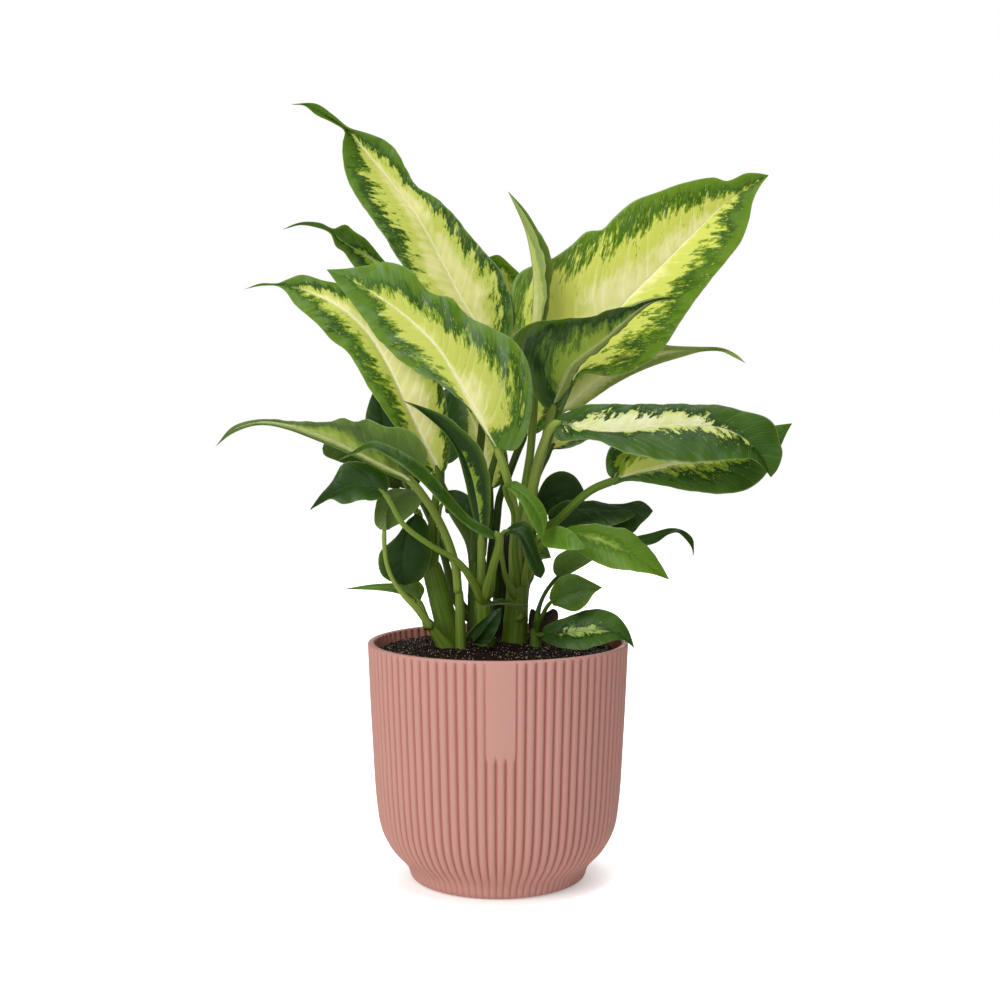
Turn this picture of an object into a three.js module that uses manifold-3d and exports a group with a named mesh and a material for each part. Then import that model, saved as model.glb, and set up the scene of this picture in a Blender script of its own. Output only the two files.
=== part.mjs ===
// A dieffenbachia in a fluted round pot: one pot, one body of potting soil, nine shoots (each a cane
// with the leaf stalks that grow from it), forty leaf blades, each on the end of its own stalk, and
// one dried sheath at the foot of the smallest shoot.
//
// Millimetres, +Z up. The origin is the centre of the pot's flat foot, on the surface it stands on,
// and -Y is the side that the plant is looked at from.
//
// Leaves and stalks are laid out in front elevation, as a gardener would sketch them: every point is
// [across, up, depth]. Across and up are read off a sheet held at the pot's axis and seen from the
// viewing place below, and depth says how far behind (+) or in front of (-) the axis the point lies
// on that line of sight.

import * as THREE from "three";
import { mergeVertices } from "three/addons/utils/BufferGeometryUtils.js";
import Module from "manifold-3d";

const wasm = await Module();
wasm.setup();

// ---- Driving dimensions ----------------------------------------------------------------------

const VIEW = { aside: 1.1, distance: 950, height: 273 }; // the eye: right of the pot's axis, before it, above
const GAP = 0.3; // clearance between pieces that touch

const POT = {
  height: 129,
  rimRadius: 70,
  footRadius: 43.5,
  floorThickness: 4,
  wall: 4, // at the rim
  ribs: 84,
  grooveDepth: 1.3,
  innerGrooveDepth: 0.9,
  panelRibs: 3, // the smooth upright band at the front replaces this many ribs
  panelFrom: 80, // and starts at this height
};

const SOIL = {
  edgeHeight: 123.5, // where it meets the pot's wall
  mound: 3.5, // how much higher it lies in the middle
  clod: 0.7, // height of its lumps
  clearance: 0.4, // from the pot's wall: a little more than the gap, for the flats between its corners
  sectors: 20,
};

const BLADE = {
  thickness: 0.8,
  keel: 2.6, // depth of the midrib below the blade at its base
  restHalfWidth: 2.4, // where the blade sits on its stalk
  rowSpacing: 10,
  fewestRows: 6,
  mostRows: 13,
  shoulder: 0.72, // below 1 fills out the ends of a plain blade's outline
};
const STALK = {
  sides: 6,
  topRadius: 2.2, // of the stalk of a blade 110 long or more; smaller leaves have thinner ones
  fullSizeBlade: 110,
  smallestSize: 0.6,
  sheathRadius: 3.9, // where it wraps the cane
  sheathFrom: 0.1,
  sheathTo: 0.55,
  longRows: 5,
  shortRows: 3,
};
const CANE = { sides: 8, buried: 24, holeAbove: 12 };

const COLOURS = {
  pot: { color: "#c98878", roughness: 0.62 },
  soil: { color: "#2a1d17", roughness: 0.95 },
  stalk: { color: "#6f8f3a", roughness: 0.5 },
  cream: { color: "#b9cf6c", roughness: 0.4 },
  green: { color: "#3d7a2c", roughness: 0.4 },
  dark: { color: "#264f1f", roughness: 0.4 },
  dry: { color: "#2b2015", roughness: 0.8 },
};

// ---- The shoots: where each cane stands in the soil (across, depth), and where it leans to ----

const SHOOTS = {
  shoot_left_front: { foot: [-28, -8], top: [-40, 141, -12], radius: 4.8 },
  shoot_left: { foot: [-25.2, 8], top: [-37.4, 172, 4], radius: 6.7 },
  shoot_left_slim: { foot: [-19.5, -16], top: [-22, 158, -18], radius: 2.9 },
  shoot_middle_front: { foot: [-7, -5], top: [-9, 152, -12], radius: 5.5 },
  shoot_right: { foot: [9, 9], top: [10, 168, 4], radius: 7 },
  shoot_right_small: { foot: [20.5, -2], top: [18.5, 136, 4], radius: 3.4 },
  shoot_left_back: { foot: [-11.5, 24], top: [-12, 176, 26], radius: 5.9 },
  shoot_right_back: { foot: [8.5, 27], top: [13.3, 170, 28], radius: 5.4 },
  shoot_back: { foot: [1, 39], top: [3.8, 187, 34], radius: 5.8 },
};

// ---- The leaves ------------------------------------------------------------------------------
// stalk: from the cane to just below the blade. rib: the midrib from the blade's base to its tip.
// A drawn leaf gives the outline of each half, from its base to just below its tip, with left and
// right as on the sheet when the tip points up, and says which side of the leaf the sheet shows.
// A plain leaf gives where its upper side faces (at the base and perhaps at the tip) and the widest
// half widths, how far each half is raised towards the upper side in degrees, where along the
// blade it is widest and what share of its length is the thin tip.
// puff raises the middle of each half, and wave ripples the margins, both in millimetres.

const LEAVES = {
  leaf_crown_left: {
    shoot: "shoot_left_back",
    tone: "cream",
    stalk: [[-12, 166, 25], [-12.5, 210, 20], [-9, 250, 13]],
    rib: [
      [-7, 284, 12], [-24, 318, 18], [-45, 357, 24], [-68, 386, 26], [-81, 401, 23], [-91, 407.5, 19],
      [-101, 413.5, 16], [-110, 414, 14],
    ],
    left: [
      [-20, 292, 8], [-34, 308, 11], [-43, 319, 14], [-52, 330, 15], [-62, 346, 17], [-71, 358.5, 20],
      [-79.5, 372, 22], [-83, 385, 22], [-83, 394, 21], [-82, 400, 21], [-88, 404.3, 19],
      [-97, 408.5, 17], [-103, 413.2, 15],
    ],
    right: [
      [3, 287, 8], [6.8, 297, 8], [6.5, 308, 8], [1, 325.5, 9], [-12, 341, 12], [-31, 363, 17],
      [-44, 371.5, 21], [-49.3, 379.5, 21], [-54, 389, 21], [-62, 396, 22], [-73, 399.8, 22],
      [-80, 402, 21], [-88, 408.5, 18], [-97, 414.3, 16],
    ],
    shows: "upper",
    puff: [1.5, 2],
  },
  leaf_back_left_tip: {
    shoot: "shoot_left_back",
    tone: "dark",
    stalk: [[-12.5, 156, 26], [-15, 182, 31], [-26, 201, 33], [-36, 226, 36], [-39, 264, 41]],
    rib: [
      [-40, 292, 44], [-56, 318, 46], [-68, 333, 45], [-82, 342, 43], [-91, 348.5, 41],
      [-102, 351.5, 39], [-115, 348.5, 36],
    ],
    left: [
      [-46, 298, 42], [-66, 318, 44], [-77, 328.5, 43], [-79.5, 332, 43], [-83, 336.8, 42],
      [-87, 339.5, 42], [-90, 346.5, 41], [-97, 349.5, 40], [-107, 350.8, 38],
    ],
    right: [
      [-38, 300, 46], [-52, 322, 47], [-63, 334, 47], [-69, 341.5, 46], [-73, 345, 45], [-77, 347.5, 44],
      [-81, 351, 44], [-84, 350.8, 43], [-88, 349, 42], [-95, 352, 41], [-104, 352.6, 39],
      [-110, 351, 37],
    ],
    shows: "upper",
    puff: [1, 1],
  },
  leaf_front_left_large: {
    shoot: "shoot_right",
    tone: "cream",
    stalk: [[9, 158, 2], [8, 180, -8], [8, 198, -20], [4.5, 214, -31]],
    rib: [
      [-1, 231, -38], [-11, 249, -47], [-22, 268, -52], [-33, 286, -55], [-48, 301, -56],
      [-65, 313.5, -56], [-79, 321.5, -54], [-92, 327.5, -50],
    ],
    left: [
      [-6, 237, -38], [-10, 244, -42], [-15, 252.5, -46], [-29, 264.5, -46], [-50, 277, -46],
      [-65, 291, -47], [-75, 305, -48], [-85, 318, -50],
    ],
    right: [
      [8, 231.5, -38], [13.5, 239, -40], [16.5, 250, -43], [17.5, 264, -45], [15, 278, -47],
      [8, 289.5, -48], [-4, 296.5, -49], [-16, 302.5, -50], [-22, 308.3, -51], [-26, 312.8, -51],
      [-33, 314, -52], [-39, 317, -52], [-48, 327.5, -53], [-60, 331.5, -53], [-72, 329.5, -52],
      [-82, 328, -51],
    ],
    shows: "upper",
    puff: [1, 2.5],
  },
  leaf_left_long: {
    shoot: "shoot_left",
    tone: "cream",
    stalk: [[-37, 166, 4], [-37, 185, -2], [-34.5, 204, -10]],
    rib: [
      [-33, 219, -17], [-41, 237, -22], [-50, 256, -27], [-60.6, 278.5, -31], [-73, 297, -33],
      [-89, 310, -32], [-106, 317.5, -29], [-117, 319.5, -27], [-127, 319.5, -26], [-136, 317, -24],
    ],
    left: [
      [-40, 222, -20], [-50, 234, -26], [-57, 245.5, -30], [-70, 265, -34], [-81, 283.5, -35],
      [-90, 290.5, -35], [-97, 298.5, -34], [-109, 309, -31], [-114, 316, -29], [-118, 318.6, -27],
      [-127, 318.8, -26],
    ],
    right: [
      [-29, 221, -17], [-27, 229, -19], [-27.4, 238, -21], [-29, 249, -24], [-33.5, 265, -27],
      [-48, 288, -29], [-66, 308, -30], [-80, 319, -30], [-93, 321.5, -30], [-105, 324.8, -29],
      [-113, 322.3, -28], [-118, 320.3, -27], [-127, 320.2, -26],
    ],
    shows: "upper",
    puff: [1.5, 1.5],
  },
  leaf_right_large: {
    shoot: "shoot_right_back",
    tone: "cream",
    stalk: [[13, 162, 27], [16.5, 190, 25], [19.4, 219, 20], [24.8, 234, 15], [30, 249, 10]],
    rib: [
      [37, 266, 6], [50, 288, 10], [66, 310, 14], [85, 329, 18], [103, 347, 21], [120, 363, 22],
      [142, 377, 20],
    ],
    left: [
      [22, 270, 8], [11, 284, 9], [7, 297, 9], [5.5, 314, 10], [10, 325.5, 11], [28, 333.5, 12],
      [38, 340.5, 12], [46, 347.5, 13], [54, 348.5, 14], [60, 354.5, 15], [70, 363, 15], [84, 368.5, 16],
      [97, 373, 17], [113, 375.8, 18], [120, 374, 18], [130, 378, 19], [137, 378, 19],
    ],
    right: [
      [44, 272, 3], [59, 271, 2], [72, 274.5, 4], [86, 285, 7], [98, 303, 10], [108, 317, 13],
      [120, 332, 15], [127, 341, 16], [131.5, 352, 17], [134, 364, 19], [138, 372, 19],
    ],
    shows: "upper",
    puff: [3, 2],
  },
  leaf_young_upright: {
    shoot: "shoot_right",
    tone: "cream",
    stalk: [[11, 163, 4], [12.4, 190, 3], [13.8, 212, 3], [16.4, 232, 2], [18.4, 262, 1]],
    rib: [
      [19, 291, 0], [19.8, 308, 0], [19.3, 323, 0], [17, 338, 0], [14, 349, 0], [9.5, 359, 0],
      [4.5, 368.5, -1],
    ],
    left: [
      [21, 296, -5], [24.3, 310, -8], [24.5, 322, -8], [23.5, 333, -7], [19.5, 345, -5], [13.5, 356, -3],
    ],
    right: [
      [24, 298, 4], [26, 310, 6], [27.3, 323, 6], [28, 331, 5], [25.5, 339, 4], [20.5, 347.5, 3],
      [14, 358, 1],
    ],
    shows: "upper",
    puff: [-0.5, -0.5],
  },
  leaf_crown_middle: {
    shoot: "shoot_left_back",
    tone: "green",
    stalk: [[-11, 168, 26], [-7, 210, 36], [4, 250, 42]],
    rib: [[9, 277, 42], [8, 300, 40], [3, 320, 36], [-6, 334, 30]],
    left: [[0, 284, 40], [-6, 300, 38], [-10, 318, 35], [-10, 330, 32]],
    right: [[17, 286, 43], [19, 302, 41], [13, 322, 37], [6, 329.5, 33], [-1, 335.2, 30]],
    shows: "upper",
    puff: [1, 1],
  },
  leaf_right_curled: {
    shoot: "shoot_right",
    tone: "dark",
    stalk: [[12, 165, 4], [16, 200, -3], [23, 232, -9]],
    rib: [
      [28, 254, -13], [33, 266, -15], [38.5, 276.5, -16], [48, 284.5, -18], [57, 291.5, -19],
      [67, 300.5, -20], [79, 309.5, -20], [95, 312.8, -18],
    ],
    left: [
      [24, 254, -18], [18, 262, -22], [12, 275, -24], [5, 288, -25], [9, 295, -26], [18, 299.5, -27],
      [35, 301.5, -28], [48, 302.5, -27], [57, 305.8, -26], [70, 308.3, -24], [79, 311.2, -22],
      [87, 312.8, -20],
    ],
    right: [
      [32, 253, -10], [37, 264, -9], [41, 274, -9], [49, 281.5, -10], [58, 289, -12], [67, 298, -14],
      [74, 304.5, -16], [82, 310, -17],
    ],
    shows: "upper",
    puff: [-4, 0],
  },
  leaf_right_under: {
    shoot: "shoot_right_back",
    tone: "cream",
    stalk: [[13, 165, 29], [16, 190, 31], [17.6, 208, 34], [19.6, 219, 36], [24.2, 234, 38]],
    rib: [
      [30.5, 249, 40], [45, 263, 45], [62, 275, 50], [80, 281.5, 54], [97, 284.3, 56], [112, 285.4, 56],
      [122, 284.3, 52], [131, 277.8, 48],
    ],
    left: [
      [31, 255, 39], [37, 266, 42], [46, 275, 46], [62, 284, 50], [80, 289, 53], [91, 287.3, 55],
      [105, 286.7, 55], [118, 286.1, 52], [126, 282.5, 50],
    ],
    right: [
      [35, 252, 40], [42, 253.5, 43], [49, 258.5, 46], [64, 268.3, 50], [80, 275.8, 53], [98, 281.5, 55],
      [108, 284.1, 55], [118, 284, 52], [125, 280.8, 50],
    ],
    shows: "under",
    puff: [1, 1],
  },
  leaf_right_level_upper: {
    shoot: "shoot_right",
    tone: "cream",
    stalk: [[12, 168, 4], [16, 205, -8], [22, 232, -24]],
    rib: [
      [30, 246, -34], [44, 243.5, -39], [60, 241.5, -43], [80, 243.5, -46], [100, 245, -48],
      [120, 243, -50], [133, 236, -51], [141, 226, -52], [145, 217, -52],
    ],
    left: [
      [31, 249.5, -32], [37, 252.5, -31], [46, 255.8, -33], [70, 256.2, -38], [96, 256.3, -42],
      [120, 255.2, -46], [132, 252, -48], [142, 249.2, -49], [147, 244.5, -50], [149.5, 236, -51],
      [151, 230, -52], [148.5, 221.5, -52],
    ],
    right: [
      [28.6, 240, -36], [32, 236.5, -39], [40, 237, -43], [49, 237.6, -46], [64, 231.5, -54],
      [85, 226.3, -60], [105, 225, -62], [122, 226.3, -61], [135, 226.7, -58], [141, 222, -54],
    ],
    shows: "upper",
    puff: [1.5, 2],
  },
  leaf_right_level_lower: {
    shoot: "shoot_right_back",
    tone: "green",
    stalk: [[13, 156, 27], [19, 180, 18], [34, 197, 2], [48.5, 210, -8]],
    rib: [
      [60, 215, -12], [72, 219, -12], [84, 222.3, -13], [97, 225.3, -14], [115, 227, -15],
      [132, 230, -15], [146, 237, -14], [156, 246, -12],
    ],
    left: [
      [57.5, 219, -10], [56.6, 227, -8], [60, 234.5, -6], [74, 239, -5], [95, 241, -5], [118, 242, -6],
      [136, 243, -9], [148, 245, -12],
    ],
    right: [
      [67, 215, -14], [78, 214.3, -17], [100, 210, -20], [119, 208.2, -21], [131, 210, -19],
      [140, 216, -17], [147, 227, -15], [153, 240.5, -13],
    ],
    shows: "upper",
    puff: [1, 1.5],
  },
  leaf_left_level: {
    shoot: "shoot_left_slim",
    tone: "cream",
    stalk: [[-22.5, 155, -18], [-24, 170, -20], [-30, 188, -26], [-39, 204, -36]],
    rib: [
      [-49, 216, -44], [-60, 221.5, -48], [-71, 227, -51], [-83, 233, -53], [-100, 240, -53],
      [-115, 244.8, -51], [-130, 246.3, -46], [-143, 242, -43], [-152, 233.5, -42],
    ],
    left: [
      [-53, 215.5, -46], [-62, 219.5, -50], [-80, 229.5, -54], [-96, 236.8, -55], [-113, 243.2, -53],
      [-130, 244.8, -47], [-143, 240.3, -44],
    ],
    right: [
      [-44, 217, -42], [-39.5, 224, -40], [-39, 231, -40], [-46, 240.5, -42], [-53, 244, -44],
      [-60, 243.8, -45], [-65, 245.7, -46], [-71, 248.5, -47], [-77, 246.6, -48], [-84, 248.7, -49],
      [-91, 247, -50], [-100, 246.6, -51], [-114, 247.5, -50], [-130, 248, -46], [-143, 244, -43],
    ],
    shows: "under",
    puff: [0.5, 2],
  },
  leaf_left_arching: {
    shoot: "shoot_middle_front",
    tone: "green",
    stalk: [[-8, 150, -12], [-4, 168, -34]],
    rib: [
      [-1, 186, -50], [-15, 191.5, -60], [-29, 206, -66], [-40, 217, -68], [-50, 225, -70],
      [-60, 231, -69], [-70, 234.2, -68], [-79, 230.5, -67], [-87, 226, -66],
    ],
    left: [
      [-7, 184.5, -56], [-20, 193, -65], [-32, 204, -70], [-43, 215.5, -72], [-52, 223, -73],
      [-61, 229, -72], [-69, 232, -70], [-78, 229.3, -68],
    ],
    right: [
      [-7, 190.5, -52], [-16, 196, -58], [-28, 209.5, -62], [-37, 219.5, -64], [-46, 227, -66],
      [-58, 233.7, -66], [-68, 236.6, -65], [-76, 232.7, -65],
    ],
    shows: "upper",
    puff: [0, 0],
  },
  leaf_left_dark: {
    shoot: "shoot_middle_front",
    tone: "dark",
    stalk: [[-8, 146, -12], [-14, 160, -24], [-23, 172, -34], [-38, 181, -42], [-52, 192, -45]],
    rib: [[-62, 208.5, -42], [-72, 214, -40], [-84, 211, -40], [-94, 205.5, -40], [-102, 199.5, -40]],
    left: [
      [-64, 206, -44], [-68, 204.6, -45], [-76, 204.8, -45], [-83.5, 202.3, -44], [-90.5, 205.5, -42],
      [-96, 203, -41],
    ],
    right: [
      [-59, 213, -40], [-63, 221.5, -38], [-74, 225.3, -37], [-84, 224.5, -38], [-87.7, 219, -38],
      [-91, 213.5, -39], [-96, 208, -40],
    ],
    shows: "upper",
    puff: [0.5, 0.5],
  },
  leaf_left_tucked: {
    shoot: "shoot_left",
    tone: "dark",
    stalk: [[-37, 168, 4], [-44, 196, 2]],
    rib: [[-52, 216, -8], [-66, 225, -20], [-80, 230, -26], [-95, 232.5, -28]],
    left: [[-54, 211, -10], [-62, 212.5, -14], [-74, 221, -23], [-87, 225.8, -28], [-94, 229, -29]],
    right: [[-52, 223, -8], [-66, 231, -18], [-82, 236, -24], [-93, 236.7, -27]],
    shows: "under",
    puff: [0.5, 0.5],
  },
  leaf_left_folded: {
    shoot: "shoot_left_front",
    tone: "green",
    stalk: [
      [-37, 136, -12], [-44.6, 146.5, -16], [-50.8, 152.7, -18], [-57, 161, -21], [-60.6, 170, -24],
      [-62, 180, -27],
    ],
    rib: [[-62, 189, -30], [-61, 199, -26], [-55, 206, -20], [-46, 210, -14]],
    left: [[-67, 192, -31], [-67, 200, -28], [-65, 207, -24], [-57, 211, -18]],
    right: [[-58, 190, -28], [-51, 194, -24], [-43, 202, -18], [-41, 208, -15]],
    shows: "under",
    puff: [1, 1],
  },
  leaf_left_hanging: {
    shoot: "shoot_left",
    tone: "dark",
    stalk: [[-37, 168, 4], [-41.5, 188, -5]],
    rib: [[-44, 199, -12], [-49, 189, -16], [-52, 174, -15], [-51, 159, -12]],
    left: [[-39.5, 193, -12], [-36.5, 180, -11], [-38.5, 168, -11], [-43, 161.5, -12]],
    right: [
      [-49, 194.5, -16], [-55.5, 185.5, -17], [-61, 180.5, -17], [-64.6, 176.5, -17], [-65.4, 170, -16],
      [-63.5, 164.5, -14], [-58, 160.6, -13],
    ],
    shows: "upper",
    puff: [1, 1],
  },
  leaf_left_low_slender: {
    shoot: "shoot_left_front",
    tone: "green",
    stalk: [[-39, 136, -12], [-41, 145, -4]],
    rib: [[-44, 151, 2], [-50, 155.5, 5], [-58, 157.6, 6], [-69, 158, 6], [-84, 157, 6]],
    left: [[-46, 151.3, 1], [-50, 153, 2], [-56, 154.8, 3], [-63, 156, 4], [-70, 156.6, 5]],
    right: [
      [-40.5, 156.5, 4], [-44, 161.5, 6], [-50, 161, 8], [-57, 160.2, 9], [-63, 160, 9], [-70, 159.4, 8],
    ],
    shows: "upper",
    puff: [0, 0],
  },
  leaf_left_behind: {
    shoot: "shoot_left_back",
    tone: "dark",
    stalk: [[-11.5, 136, 25], [-23, 151, 24], [-30, 174, 22], [-38, 196, 16]],
    rib: [[-46, 212, 10], [-57, 230, 6], [-63, 250, 4], [-65, 272, 3]],
    face: [[-0.35, -0.85, 0.3]],
    halves: [11.5, 11.5],
    lift: [6, 6],
    belly: 0.45,
    drip: 0.08,
    puff: [1, 1],
    wave: 0.7,
    waves: 2,
  },
  leaf_middle_dark: {
    shoot: "shoot_middle_front",
    tone: "dark",
    stalk: [[-9, 146, -12], [-10, 164, -18]],
    rib: [
      [-10, 184, -24], [-12, 202, -28], [-15, 217, -30], [-20, 230, -32], [-30, 242.5, -33],
      [-41, 252, -34], [-51.5, 258, -34],
    ],
    left: [
      [-13, 190, -25], [-16.5, 204, -28], [-19, 216, -31], [-23, 230, -33], [-29, 240.5, -34],
      [-40, 250.5, -35], [-47, 256, -35],
    ],
    right: [
      [-6, 190, -26], [-5, 206, -30], [-6, 220, -33], [-9, 230, -34], [-15, 238, -35], [-22, 244.5, -36],
      [-30, 250.3, -36], [-41, 254.6, -35],
    ],
    shows: "upper",
    puff: [0, 0.5],
  },
  leaf_middle_tucked: {
    shoot: "shoot_left",
    tone: "dark",
    stalk: [[-36, 162, 4], [-33, 184, -3]],
    rib: [[-31, 203, -10], [-25, 206, -12], [-18, 202, -13], [-13, 192, -14]],
    left: [[-30, 209, -9], [-23, 210.3, -11], [-16, 206.5, -12], [-12, 198, -13]],
    right: [[-29, 198, -11], [-22, 197, -13], [-15, 191, -15]],
    shows: "upper",
    puff: [0, 0],
  },
  leaf_right_round: {
    shoot: "shoot_right_back",
    tone: "dark",
    stalk: [[13, 158, 28], [17, 182, 36]],
    rib: [[21, 198, 40], [28, 206, 42], [37, 210, 42], [46, 207, 40]],
    left: [
      [19, 202, 40], [20.5, 209, 42], [25, 217, 44], [32, 220.5, 45], [39, 218.5, 44], [43.5, 213, 42],
    ],
    right: [[26, 197, 38], [34, 198, 38], [42, 201, 39]],
    shows: "upper",
    puff: [0.5, 0.5],
  },
  leaf_right_dark: {
    shoot: "shoot_right_back",
    tone: "dark",
    stalk: [[13, 152, 27], [17, 174, 24]],
    rib: [[27, 193, 18], [42, 198, 14], [58, 199.5, 10], [73, 197.5, 6]],
    left: [[26, 198.5, 20], [33, 203.7, 20], [46, 204.8, 17], [58, 203, 13], [67, 200, 8]],
    right: [[31, 190, 14], [44, 190, 9], [58, 191, 6], [68, 194, 5]],
    shows: "upper",
    puff: [0.5, 0.5],
  },
  leaf_right_dark_back: {
    shoot: "shoot_right_back",
    tone: "dark",
    stalk: [[13, 154, 28], [20, 180, 32]],
    rib: [[40, 197, 30], [55, 199.5, 27], [70, 200, 23], [82, 199, 20]],
    left: [[44, 201, 31], [56, 202.8, 29], [66, 203, 26], [75, 204.6, 23], [79.5, 202, 21]],
    right: [[46, 191, 27], [60, 188, 23], [71, 187, 20], [75.5, 192, 20], [79.5, 195.7, 20]],
    shows: "upper",
    puff: [0.5, 0.5],
  },
  leaf_right_bright: {
    shoot: "shoot_right",
    tone: "green",
    stalk: [[12, 158, 4], [20, 178, -8]],
    rib: [[34, 187, -20], [51, 184, -30], [64, 179, -36], [77, 171.5, -41], [91, 162, -44]],
    left: [
      [37, 190.5, -18], [47, 192, -20], [60, 190.8, -24], [70, 188, -28], [80, 179, -34],
      [87, 169.5, -40],
    ],
    right: [[38, 181, -26], [45, 175, -32], [57, 169, -38], [70, 166.7, -43], [82, 165, -45]],
    shows: "upper",
    puff: [1, 1],
  },
  leaf_right_short: {
    shoot: "shoot_right",
    tone: "green",
    stalk: [[12, 156, 4], [15, 174, -14]],
    rib: [[21.5, 185.5, -30], [31, 186.5, -42], [39, 184, -48], [46, 178.5, -51]],
    left: [[25, 188.8, -34], [31, 191, -40], [38, 188.5, -45], [43, 183.5, -49]],
    right: [[24, 180, -36], [31, 178.6, -44], [39, 178, -50]],
    shows: "upper",
    puff: [0, 0],
  },
  leaf_right_ribbon: {
    shoot: "shoot_right_back",
    tone: "dark",
    stalk: [[13, 154, 27], [18, 177, 25], [31, 185, 20], [45, 182, 15]],
    rib: [
      [56, 176, 12], [72, 181.5, 8], [82, 185, 6], [90, 187.8, 4], [96, 188.3, 2], [101, 184.5, 1],
      [103.7, 179, 0], [103.5, 173, 0],
    ],
    left: [
      [60, 182, 14], [71, 185, 11], [80, 187, 9], [92, 189.9, 6], [98.5, 188.5, 4], [103.3, 184.3, 2],
      [104.1, 179, 0],
    ],
    right: [
      [64, 177, 8], [76, 179.8, 4], [84, 182, 3], [90, 186.3, 2], [95, 187.6, 1], [99, 184.5, 0],
      [102.8, 179, 0],
    ],
    shows: "upper",
    puff: [0, 0],
  },
  leaf_middle_arching: {
    shoot: "shoot_right",
    tone: "green",
    stalk: [[9.5, 156, 1], [8.2, 176, -9], [7.5, 196, -20], [3.2, 208, -34]],
    rib: [[3, 213, -40], [12, 208, -44], [19, 199, -46], [23, 190.5, -46], [22, 183.5, -46]],
    left: [[8, 215.3, -38], [16, 210, -42], [23, 202.5, -44], [25.5, 195, -45], [24, 188, -46]],
    right: [[6, 209.5, -43], [12, 202, -47], [16, 194, -48], [19.5, 187.5, -47]],
    shows: "upper",
    puff: [0.5, 0.5],
  },
  leaf_middle_drooping: {
    shoot: "shoot_right",
    tone: "dark",
    stalk: [[9, 150, 2], [2, 168, -16]],
    rib: [[2, 188, -28], [10, 187, -32], [16, 178, -35], [20, 169, -36], [22, 162.6, -36]],
    left: [[7, 192, -27], [14, 193.7, -29], [18, 187, -31], [21, 176, -33], [24.3, 167, -35]],
    right: [[6, 187, -31], [11, 181, -35], [14.5, 172, -37], [18.5, 164.5, -37]],
    shows: "upper",
    puff: [0.5, 0.5],
  },
  leaf_right_ribbed: {
    shoot: "shoot_right_small",
    tone: "green",
    stalk: [[19, 133, 4], [21, 147, 6], [25, 156, 7]],
    rib: [[31, 163.5, 8], [37, 169, 8], [45, 174.5, 8], [54, 178, 8]],
    left: [[28.5, 167, 8], [29.5, 173.5, 10], [36, 178, 12], [45, 180.5, 12]],
    right: [[35, 163.5, 6], [41, 167, 5], [49, 172, 5], [53, 176, 7]],
    shows: "under",
    puff: [0.5, 0.5],
  },
  leaf_right_small: {
    shoot: "shoot_right_small",
    tone: "green",
    stalk: [[18.5, 131, 4], [22, 141, -3]],
    rib: [[27.5, 150, -9], [35, 153.5, -12], [45, 156.5, -14], [55, 157.8, -15]],
    left: [[27.2, 156, -8], [31, 162.3, -9], [39, 165.2, -11], [48, 161.5, -13]],
    right: [[31, 147.5, -12], [40, 144.8, -15], [46, 148, -16], [50.5, 154.5, -16]],
    shows: "upper",
    puff: [0.5, 0.5],
  },
  leaf_right_rim: {
    shoot: "shoot_right_small",
    tone: "green",
    stalk: [[19, 132, 3]],
    rib: [
      [22, 132, -3], [32, 132.5, -8], [45, 134, -12], [57, 134.5, -15], [66, 131.5, -16],
      [72.5, 125, -16],
    ],
    left: [
      [23, 136, -1], [31, 140, -3], [43, 144.5, -6], [54, 146.3, -9], [63, 142.5, -12], [69, 135, -14],
    ],
    right: [
      [25, 128, -7], [33, 125, -13], [45, 124.3, -19], [54, 126.5, -21], [61, 129.2, -20],
      [67, 129, -18],
    ],
    shows: "upper",
    puff: [1, 1],
  },
  leaf_dried_sheath: {
    shoot: "shoot_right_small",
    tone: "dry",
    stalk: [[19.3, 130.8, 3], [19.7, 132, 7]],
    rib: [[20, 133.5, 9.5], [22, 137.5, 11.5], [25, 142, 12.5], [28.6, 146.5, 13]],
    left: [[16, 134, 11], [15.4, 140, 12], [17, 146.5, 13], [21.5, 143.2, 13]],
    right: [[24, 134, 10], [29, 138, 12], [31.3, 141, 13], [30.8, 145, 13]],
    shows: "upper",
    puff: [0, 0],
  },
  leaf_middle_low: {
    shoot: "shoot_middle_front",
    tone: "dark",
    stalk: [[-8, 128, -8], [-10, 131, -18]],
    rib: [[-13, 129.5, -26], [-9, 134.5, -28], [-4, 141, -30], [1, 147, -30]],
    left: [[-18, 131.5, -26], [-14, 136.5, -28], [-8, 141.5, -30], [-3, 145.5, -30]],
    right: [[-11, 127, -27], [-6, 128, -29], [-2, 134, -31], [0.5, 141, -31]],
    shows: "under",
    puff: [0.5, 0.5],
  },
  leaf_middle_sliver: {
    shoot: "shoot_right",
    tone: "dark",
    stalk: [[9, 140, 2], [13, 143, -12]],
    rib: [[12, 147.3, -24], [4, 149.7, -38], [-6, 149, -44], [-14, 147.3, -46]],
    face: [[0, -0.25, 1]],
    halves: [4, 4],
    lift: [8, 8],
    belly: 0.4,
    drip: 0.1,
    puff: [0, 0],
    wave: 0.4,
    waves: 2,
  },
  leaf_back_high: {
    shoot: "shoot_back",
    tone: "cream",
    stalk: [
      [-0.8, 150, 32], [-3.8, 166, 34], [-3.6, 180, 37], [-1.6, 195, 42], [-0.2, 206, 47],
      [4.1, 217, 51], [9, 230, 57],
    ],
    rib: [[13, 240, 62], [16, 262, 74], [20, 284, 88], [27, 300, 104]],
    face: [[-0.1, -0.85, 0.5]],
    halves: [16, 16],
    lift: [10, 10],
    belly: 0.36,
    drip: 0.12,
    puff: [1.5, 1.5],
    wave: 1,
    waves: 3,
  },
  leaf_back_left: {
    shoot: "shoot_back",
    tone: "cream",
    stalk: [[0, 162, 33], [-3.8, 182, 42], [-5, 198, 50]],
    rib: [[-5.5, 211, 56], [-8, 228, 66], [-14, 247, 80], [-22, 262, 98]],
    face: [[0, -0.85, 0.5]],
    halves: [11.5, 11.5],
    lift: [10, 10],
    belly: 0.36,
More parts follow.
